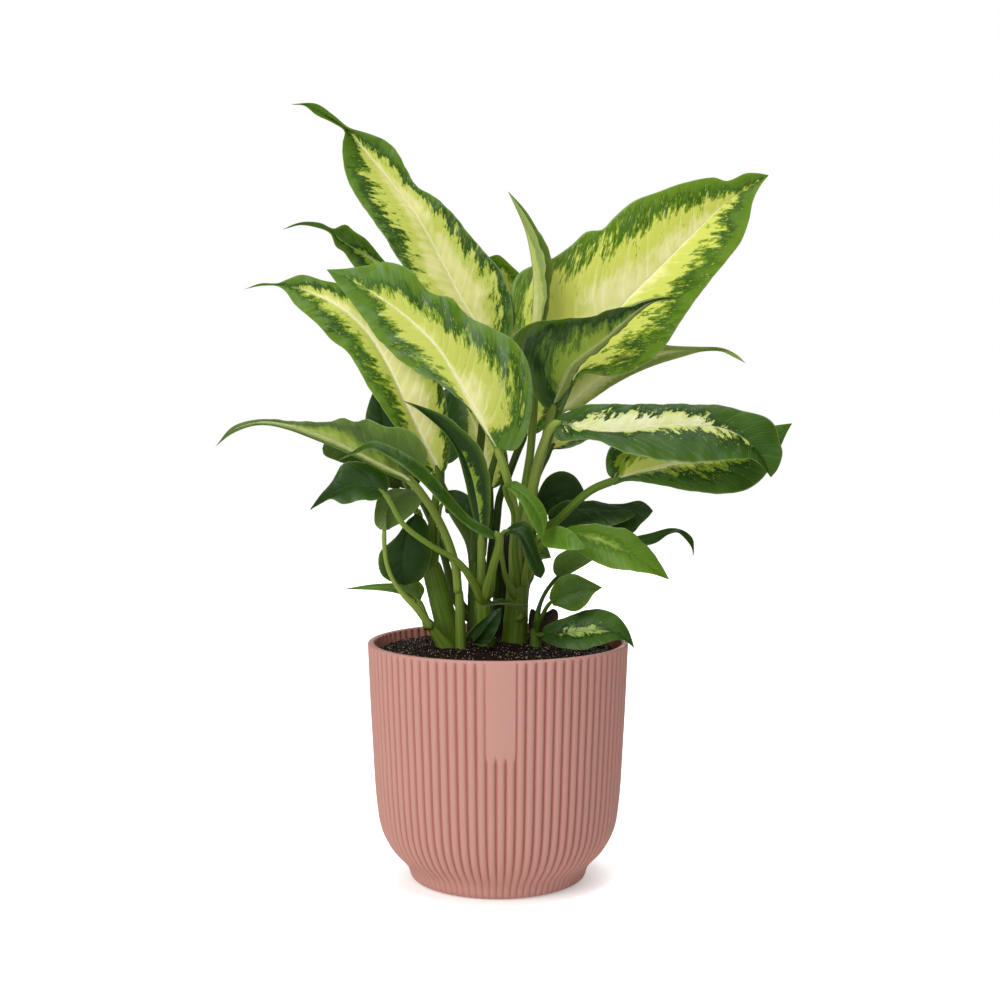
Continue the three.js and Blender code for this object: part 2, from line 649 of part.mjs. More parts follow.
    drip: 0.12,
    puff: [1.5, 1.5],
    wave: 1,
    waves: 3,
  },
  leaf_back_right: {
    shoot: "shoot_back",
    tone: "cream",
    stalk: [[3, 160, 33], [9, 185, 44], [16.8, 210, 56], [22, 222.5, 64], [24.8, 228, 68]],
    rib: [[27, 233, 72], [42, 242.5, 86], [60, 246, 102], [76, 240, 116]],
    face: [[0.1, -0.5, 0.86]],
    halves: [11.5, 11.5],
    lift: [8, 8],
    belly: 0.36,
    drip: 0.12,
    puff: [1.5, 1.5],
    wave: 1,
    waves: 3,
  },
  leaf_back_low_left: {
    shoot: "shoot_back",
    tone: "green",
    stalk: [[0, 152, 32], [-14, 163, 50]],
    rib: [[-30, 176, 66], [-42, 184, 82], [-50, 182, 98], [-53, 172, 112]],
    face: [[-0.1, -0.1, 0.98]],
    halves: [13, 13],
    lift: [6, 6],
    belly: 0.4,
    drip: 0.1,
    puff: [1, 1],
    wave: 0.7,
    waves: 2,
  },
  leaf_back_low_right: {
    shoot: "shoot_back",
    tone: "green",
    stalk: [[3, 150, 32], [6, 163, 41]],
    rib: [[11, 174, 50], [17, 178, 58], [23, 177, 66], [29, 172.5, 72]],
    face: [[0.1, -0.9, 0.4]],
    halves: [6.5, 6.5],
    lift: [6, 6],
    belly: 0.4,
    drip: 0.1,
    puff: [1, 1],
    wave: 0.7,
    waves: 2,
  },
  leaf_back_middle: {
    shoot: "shoot_left_back",
    tone: "green",
    stalk: [[-11.5, 156, 25], [-14, 184, 36], [-24, 197, 46], [-30.6, 210, 52]],
    rib: [[-31, 224, 58], [-29, 240, 66], [-27, 256, 78], [-23, 272, 92]],
    face: [[-0.1, -0.9, 0.4]],
    halves: [12, 12],
    lift: [8, 8],
    belly: 0.38,
    drip: 0.1,
    puff: [1, 1],
    wave: 0.8,
    waves: 2,
  },
};

// ---- Points, curves and frames ---------------------------------------------------------------

// A point given as seen on the elevation sheet, moved along its line of sight to its own depth.
function seen([across, up, depth]) {
  const scale = 1 + depth / VIEW.distance;
  return new THREE.Vector3(VIEW.aside + across * scale, depth, VIEW.height + (up - VIEW.height) * scale);
}

// Points and directions at equal steps of length along part of a smooth curve.
const CURVE_STEPS = 80;

function pointsAlong(curve, from, to, shares) {
  const steps = CURVE_STEPS;
  const fine = Array.from({ length: steps + 1 }, (_, i) => curve.getPoint(from + ((to - from) * i) / steps));
  const walked = [0];
  for (let i = 1; i <= steps; i++) walked.push(walked[i - 1] + fine[i].distanceTo(fine[i - 1]));
  const length = walked[steps];
  const stations = shares.map((share) => {
    let i = 1;
    while (i < steps && walked[i] < share * length) i++;
    const part = (share * length - walked[i - 1]) / (walked[i] - walked[i - 1]);
    return {
      share,
      point: fine[i - 1].clone().lerp(fine[i], part),
      ahead: fine[i].clone().sub(fine[i - 1]).normalize(),
    };
  });
  return { length, stations };
}

// A direction made square to another.
function squareTo(direction, axis) {
  return direction.clone().addScaledVector(axis, -direction.dot(axis)).normalize();
}

const radians = THREE.MathUtils.degToRad;

// ---- Meshes ----------------------------------------------------------------------------------

function geometryOf(vertices, triangles) {
  const made = new THREE.BufferGeometry();
  made.setAttribute("position", new THREE.Float32BufferAttribute(vertices.flatMap((v) => v.toArray()), 3));
  made.setIndex(triangles);
  made.computeVertexNormals();
  return made;
}

// Joins rings of points into a closed skin, each ring running the same way round, with a fan on
// each end. Two rings may hold different numbers of points as long as both start at the same angle.
function skinOf(rings) {
  const vertices = rings.flat();
  const triangles = [];
  let start = 0;
  for (let r = 0; r + 1 < rings.length; r++) {
    const here = rings[r].length;
    const next = rings[r + 1].length;
    const after = start + here;
    let i = 0;
    let j = 0;
    while (i < here || j < next) {
      const a = start + (i % here);
      const b = after + (j % next);
      if (j >= next || (i < here && (i + 1) * next <= (j + 1) * here)) {
        triangles.push(a, start + ((i + 1) % here), b);
        i++;
      } else {
        triangles.push(a, after + ((j + 1) % next), b);
        j++;
      }
    }
    start = after;
  }
  const last = rings.at(-1).length;
  for (let k = 1; k + 1 < rings[0].length; k++) triangles.push(0, k + 1, k);
  for (let k = 1; k + 1 < last; k++) triangles.push(start, start + k, start + k + 1);
  return geometryOf(vertices, triangles);
}

function solidOf(geometry) {
  const bare = geometry.clone();
  bare.deleteAttribute("normal");
  bare.deleteAttribute("uv");
  const merged = mergeVertices(bare, 1e-4);
  return new wasm.Manifold(
    new wasm.Mesh({
      numProp: 3,
      vertProperties: merged.attributes.position.array,
      triVerts: new Uint32Array(merged.index.array),
    }),
  );
}

function geometryFrom(solid) {
  const mesh = solid.getMesh();
  const vertices = [];
  for (let i = 0; i < mesh.numVert; i++) {
    vertices.push(new THREE.Vector3().fromArray(mesh.vertProperties, i * mesh.numProp));
  }
  return geometryOf(vertices, Array.from(mesh.triVerts));
}

function meshOf(name, geometry, look) {
  const mesh = new THREE.Mesh(geometry, new THREE.MeshStandardMaterial({ ...COLOURS[look], metalness: 0 }));
  mesh.name = name;
  return mesh;
}

// ---- Pot -------------------------------------------------------------------------------------

// The outer wall at the top of its ribs: height, radius, share of the full groove depth.
const POT_WALL = [
  [0, POT.footRadius, 0.4],
  [2.2, 47.6, 0.6],
  [7.7, 51.1, 0.8],
  [16.5, 58.1, 1],
  [28, 63.1, 1],
  [43, 65.5, 1],
  [POT.panelFrom - 2, 67.7, 1],
  [POT.panelFrom, 67.8, 1],
  [POT.height - 5, 69.8, 1],
];
// The smooth lip, over the top from the outer wall to the inner one: height, radius.
const POT_LIP = [
  [POT.height - 3.6, 69.9],
  [POT.height, POT.rimRadius],
  [POT.height, POT.rimRadius - POT.wall],
  [POT.height - 2, POT.rimRadius - POT.wall - 0.2],
];
const LINING_BELOW_SOIL = [
  [SOIL.edgeHeight - 5, 64.2],
  [36, 60.4],
  [20, 55.2],
  [POT.floorThickness, 45],
];

const FRONT = -Math.PI / 2;

function ringOf(count, radiusAt, height, firstAngle = FRONT) {
  return Array.from({ length: count }, (_, i) => {
    const angle = (i / count) * 2 * Math.PI + firstAngle;
    const radius = radiusAt(i);
    return new THREE.Vector3(radius * Math.cos(angle), radius * Math.sin(angle), height);
  });
}

// One rib is three columns: its two shoulders and the groove beside it. The middle of a rib faces
// the front, where the smooth band takes the place of a few ribs.
function potGeometry() {
  const perRib = 3;
  const columns = POT.ribs * perRib;
  const start = FRONT + Math.PI / columns;
  const isGroove = (i) => i % perRib === 1;
  const inPanel = (i) => Math.min(i, columns - i) < (POT.panelRibs * perRib) / 2 - 1;
  const outer = POT_WALL.map(([height, radius, depth]) => {
    const radiusAt = (i) => {
      const smooth = height >= POT.panelFrom && inPanel(i);
      return radius - (isGroove(i) && !smooth ? POT.grooveDepth * depth : 0);
    };
    return ringOf(columns, radiusAt, height, start);
  });
  const plainRing = ([height, radius]) => ringOf(POT.ribs, () => radius, height, start);
  const [ribbedTo, ...smooth] = LINING_BELOW_SOIL;
  const ribbedRadius = (i) => ribbedTo[1] + (i % 2) * POT.innerGrooveDepth;
  const ribbed = ringOf(POT.ribs * 2, ribbedRadius, ribbedTo[0], start);
  return skinOf([...outer, ...POT_LIP.map(plainRing), ribbed, ...smooth.map(plainRing)]);
}

// ---- Soil ------------------------------------------------------------------------------------

function soilHeight(x, y) {
  const out = Math.min(1, Math.hypot(x, y) / (POT.rimRadius - POT.wall));
  const lumps = Math.sin(x * 0.31 + 1.3) * Math.cos(y * 0.27 - 0.6) + 0.5 * Math.sin(x * 0.11 - y * 0.53);
  return SOIL.edgeHeight + SOIL.mound * (1 - out * out) + SOIL.clod * lumps * (1 - 0.6 * out);
}

function soilGeometry() {
  const surface = (radius) =>
    ringOf(SOIL.sectors, () => radius, 0).map((p) => p.setZ(soilHeight(p.x, p.y)));
  const tops = [0.3, 0.65, 1].map((share) => surface((LINING_BELOW_SOIL[0][1] - SOIL.clearance) * share));
  const below = LINING_BELOW_SOIL.map(([height, radius]) =>
    ringOf(SOIL.sectors, () => radius - SOIL.clearance, Math.max(height, POT.floorThickness + GAP)),
  );
  return skinOf([...below.reverse(), ...tops.reverse()]);
}

// ---- Shoots and leaves -----------------------------------------------------------------------

function ringAround({ point, ahead }, side, radius, sides) {
  const other = ahead.clone().cross(side);
  return Array.from({ length: sides }, (_, i) => {
    const angle = (i / sides) * 2 * Math.PI;
    return point
      .clone()
      .addScaledVector(side, radius * Math.cos(angle))
      .addScaledVector(other, radius * Math.sin(angle));
  });
}

// A round bar through the stations of a curve, with its own radius at each.
function barGeometry(stations, radiusAt, sides, firstSide) {
  let side = squareTo(firstSide, stations[0].ahead);
  const rings = stations.map((station) => {
    side = squareTo(side, station.ahead);
    return ringAround(station, side, radiusAt(station.share), sides);
  });
  return skinOf(rings);
}

function caneLine({ foot, top }) {
  const tip = seen(top);
  const soil = new THREE.Vector3(...foot, soilHeight(...foot));
  const up = tip.clone().sub(soil).normalize();
  return { soil, up, tip, root: soil.clone().addScaledVector(up, -CANE.buried) };
}

function caneGeometry(shoot) {
  const { root, tip, up } = caneLine(shoot);
  const taper = [[0, 0.96], [0.35, 1], [0.97, 0.8], [1, 0.5]];
  const stations = taper.map(([share]) => ({ share, point: root.clone().lerp(tip, share), ahead: up }));
  const radiusAt = (share) => shoot.radius * taper.find(([s]) => s === share)[1];
  return barGeometry(stations, radiusAt, CANE.sides, new THREE.Vector3(1, 0, 0));
}

// The stalk and the midrib of a leaf are one smooth line; the blade begins at its joint.
function leafLine(leaf) {
  const points = [...leaf.stalk, ...leaf.rib].map(seen);
  const curve = new THREE.CatmullRomCurve3(points, false, "centripetal");
  return { curve, joint: leaf.stalk.length / (points.length - 1) };
}

function stalkGeometry(leaf) {
  const { curve, joint } = leafLine(leaf);
  const { length } = pointsAlong(curve, joint, 1, [1]);
  const size = THREE.MathUtils.clamp((1 + length / STALK.fullSizeBlade) / 2, STALK.smallestSize, 1);
  const count = leaf.stalk.length > 2 ? STALK.longRows : STALK.shortRows;
  const shares = Array.from({ length: count + 1 }, (_, i) => i / count);
  const { stations } = pointsAlong(curve, 0, joint, shares);
  const last = stations.at(-1);
  last.point.addScaledVector(last.ahead, -GAP);
  const radiusAt = (share) => {
    const sheath = 1 - THREE.MathUtils.smoothstep(share, STALK.sheathFrom, STALK.sheathTo);
    return size * (STALK.topRadius + (STALK.sheathRadius - STALK.topRadius) * sheath);
  };
  return barGeometry(stations, radiusAt, STALK.sides, new THREE.Vector3(1, 0, 0.3));
}

// How wide a plain blade is along its length, as a share of its widest: round at the base and
// tapering to a thin tip.
function outline(share, { belly, drip }) {
  const body = Math.min(1, share / (1 - drip));
  const skew = Math.log(0.5) / Math.log(belly);
  return Math.sin(Math.PI * body ** skew) ** BLADE.shoulder;
}

// The way from the midrib to the margin of each half at every station. The first and last points of
// a drawn outline are put beside the midrib's ends.
function drawnReach(leaf, stations, shares) {
  const base = stations[0];
  const tip = stations.at(-1).point;
  return [leaf.left, leaf.right].map((outlinePoints) => {
    const points = outlinePoints.map(seen);
    const beside = squareTo(points[0].clone().sub(base.point), base.ahead);
    points.unshift(base.point.clone().addScaledVector(beside, BLADE.restHalfWidth));
    points.push(tip.clone());
    const curve = new THREE.CatmullRomCurve3(points, false, "centripetal");
    const margin = pointsAlong(curve, 0, 1, shares).stations;
    return margin.map(({ point }, i) => point.clone().sub(stations[i].point));
  });
}

function plainReach(leaf, stations) {
  const [faceBase, faceTip = faceBase] = leaf.face.map((f) => new THREE.Vector3(...f).normalize());
  return [-1, 1].map((way, half) =>
    stations.map(({ share, ahead }) => {
      const up = squareTo(faceBase.clone().lerp(faceTip, share), ahead);
      const outward = ahead.clone().cross(up).multiplyScalar(way);
      const width = leaf.halves[half] * outline(share, leaf) + BLADE.restHalfWidth * (1 - share) ** 1.5;
      const lift = radians(leaf.lift[half]);
      return outward.multiplyScalar(width * Math.cos(lift)).addScaledVector(up, width * Math.sin(lift));
    }),
  );
}

// Rows lie closer together towards the base and the tip, where outlines turn most.
function crowded(part) {
  return THREE.MathUtils.lerp(part, (1 - Math.cos(Math.PI * part)) / 2, 0.5);
}

// The blade's upper surface is drawn out from the midrib to both margins, a row of points at each
// station, and the lower one lies a blade's thickness under it, with a keel below the midrib.
function bladeGeometry(leaf) {
  const { wave = 0, waves = 0 } = leaf;
  const { curve, joint } = leafLine(leaf);
  const { length } = pointsAlong(curve, joint, 1, [1]);
  const wanted = Math.round(length / BLADE.rowSpacing);
  const rows = THREE.MathUtils.clamp(wanted, BLADE.fewestRows, BLADE.mostRows);
  const shares = Array.from({ length: rows + 1 }, (_, i) => crowded(i / rows));
  const { stations } = pointsAlong(curve, joint, 1, shares);
  let reach = leaf.left ? drawnReach(leaf, stations, shares) : plainReach(leaf, stations);
  if (leaf.shows === "under") reach = reach.reverse();
  const across = [-1, -0.5, 0, 0.5, 1];
  const tops = [];
  const bottoms = [];
  let ribUp; // the tip, which has no width, keeps that of the row before it
  stations.forEach(({ share, point, ahead }, i) => {
    const [left, right] = reach.map((toMargin) => toMargin[i]);
    const ups = [ahead.clone().cross(left).normalize(), right.clone().cross(ahead).normalize()];
    if (share < 1) ribUp = ups[0].clone().add(ups[1]).normalize();
    across.forEach((v) => {
      if (share === 1 && v !== 0) return; // the tip is one sharp edge
      const half = v < 0 ? 0 : 1;
      const up = v === 0 ? ribUp : ups[half];
      const out = Math.abs(v);
      const ripple = wave * Math.sin(2 * Math.PI * (waves * share + half / 3)) * Math.sin(Math.PI * share);
      const raised = leaf.puff[half] * 4 * out * (1 - out) * Math.sin(Math.PI * share ** 0.7);
      const top = point
        .clone()
        .addScaledVector([left, right][half], out)
        .addScaledVector(up, raised + out ** 2 * ripple);
      const keel = v === 0 ? BLADE.keel * (1 - share) : 0;
      tops.push(top);
      bottoms.push(top.clone().addScaledVector(up, -(BLADE.thickness + keel)));
    });
  });
  const columns = across.length;
  const half = tops.length;
  const triangles = [];
  const face = (a, b, c) => {
    triangles.push(a, b, c);
    triangles.push(a + half, c + half, b + half);
  };
  for (let i = 0; i + 1 < rows; i++) {
    for (let k = 0; k + 1 < columns; k++) {
      const a = i * columns + k;
      if (k * 2 < columns - 1) {
        face(a, a + 1, a + columns + 1);
        face(a, a + columns + 1, a + columns);
      } else {
        face(a, a + 1, a + columns);
        face(a + 1, a + columns + 1, a + columns);
      }
    }
  }
  const lastRow = (rows - 1) * columns;
  const tip = half - 1;
  for (let k = 0; k + 1 < columns; k++) face(lastRow + k, lastRow + k + 1, tip);
  const edge = [];
  for (let k = columns - 1; k >= 0; k--) edge.push(k);
  for (let i = 1; i < rows; i++) edge.push(i * columns);
  edge.push(tip);
  for (let i = rows - 1; i > 0; i--) edge.push(i * columns + columns - 1);
  edge.forEach((a, i) => {
    const b = edge[(i + 1) % edge.length];
    triangles.push(a, b, b + half, a, b + half, a + half);
  });
  return geometryOf([...tops, ...bottoms], triangles);
}

// ---- Assembly --------------------------------------------------------------------------------

const plant = new THREE.Group();
plant.add(meshOf("pot", potGeometry(), "pot"));

let soil = solidOf(soilGeometry());
for (const [name, shoot] of Object.entries(SHOOTS)) {
  const stalks = Object.values(LEAVES).filter((leaf) => leaf.shoot === name);
  const parts = [caneGeometry(shoot), ...stalks.map(stalkGeometry)].map(solidOf);
  plant.add(meshOf(name, geometryFrom(wasm.Manifold.union(parts)), "stalk"));

  const { root, soil: mouth, up } = caneLine(shoot);
  const from = root.clone().addScaledVector(up, -GAP);
  const to = mouth.clone().addScaledVector(up, CANE.holeAbove);
  const hole = [from, to].map((point, share) => ({ share, point, ahead: up }));
  const drill = barGeometry(hole, () => shoot.radius + 2 * GAP, CANE.sides, new THREE.Vector3(1, 0, 0));
  soil = soil.subtract(solidOf(drill));
}
plant.add(meshOf("soil", geometryFrom(soil), "soil"));

for (const [name, leaf] of Object.entries(LEAVES)) plant.add(meshOf(name, bladeGeometry(leaf), leaf.tone));

export default plant;
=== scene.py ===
"""A dieffenbachia with cream-hearted leaves, in a round fluted pot, dressed for close views.

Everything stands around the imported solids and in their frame: the pot's foot is at the origin,
+Z is up and -Y is the side that the plant is looked at from. Shapes are worked out in millimetres
and turned into metres as a mesh is made. Leaves and stalks follow the elevation sheet of the
part's source: a point is (across, up, depth) as seen from the viewing place.
"""
import logging
import math
import random
from dataclasses import dataclass, field
from enum import Enum
from typing import NamedTuple

import bpy
import numpy as np
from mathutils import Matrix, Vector


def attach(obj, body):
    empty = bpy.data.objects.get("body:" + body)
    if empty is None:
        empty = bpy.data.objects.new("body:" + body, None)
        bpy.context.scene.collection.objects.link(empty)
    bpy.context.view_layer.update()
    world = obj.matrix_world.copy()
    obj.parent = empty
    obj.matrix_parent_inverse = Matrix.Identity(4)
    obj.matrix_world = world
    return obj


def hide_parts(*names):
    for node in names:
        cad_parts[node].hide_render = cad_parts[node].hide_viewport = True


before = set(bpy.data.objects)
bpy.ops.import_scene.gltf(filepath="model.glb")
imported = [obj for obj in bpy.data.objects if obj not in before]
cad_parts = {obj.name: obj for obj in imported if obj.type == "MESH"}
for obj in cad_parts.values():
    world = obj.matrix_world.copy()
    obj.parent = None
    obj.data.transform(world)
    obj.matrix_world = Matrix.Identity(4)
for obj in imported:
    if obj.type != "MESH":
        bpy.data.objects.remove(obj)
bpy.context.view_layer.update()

Triple = tuple[float, float, float]
Points = tuple[Triple, ...]
Pair = tuple[float, float]
Colour = tuple[float, float, float, float]
Faces = list[tuple[int, ...]]
Socket = bpy.types.NodeSocket
Value = float | Socket

log = logging.getLogger("plant")

MM = 0.001  # in metres
VIEW_ASIDE, VIEW_DISTANCE, VIEW_HEIGHT = 1.1, 950.0, 273.0  # the viewing place, in mm
TINY = 1e-9  # the least length that a vector is divided by
CLOSEST = 1e-4  # curve points nearer than this count as one
VEIN_LEAN, VEIN_CURL = 0.75, 0.012  # how side veins lean towards the tip and curve near the margin


class Tone(Enum):
    """How much cream a leaf's own tissue has; the value is the record's material slot."""

    CREAM = "leaf_variegated"
    GREEN = "leaf_green"
    DARK = "leaf_dark"
    DRY = "dried_sheath"


class Side(Enum):
    """The side of a leaf that the elevation sheet shows."""

    UPPER = "upper"
    UNDER = "under"


# ---- Plans: the same leaves and shoots as the solids -----


@dataclass(frozen=True)
class ShootPlan:
    """A cane: its foot in the soil, the point it leans to and its radius, in mm.

    Light says how pale the shoot is, and brown how withered and brown its cane is; the back shoot's
    very dark, brown cane is partly painted shade, filling the dark gap between the canes.
    """

    foot: Pair
    top: Triple
    radius: float
    light: float
    brown: float = 0.0


@dataclass(frozen=True)
class LeafPlan:
    """A leaf on the elevation sheet, drawn by its margins or, without them, by its half widths.

    Light says how pale its stalk is, where that isn't left to its shoot.
    """

    shoot: str
    tone: Tone
    stalk: Points
    rib: Points
    left: Points = ()
    right: Points = ()
    shows: Side = Side.UPPER
    face: Triple = (0.0, -1.0, 0.0)
    halves: Pair = (0.0, 0.0)
    lift: Pair = (0.0, 0.0)
    belly: float = 0.4
    drip: float = 0.1
    puff: Pair = (0.0, 0.0)
    wave: float = 0.0
    waves: float = 0.0
    light: float | None = None


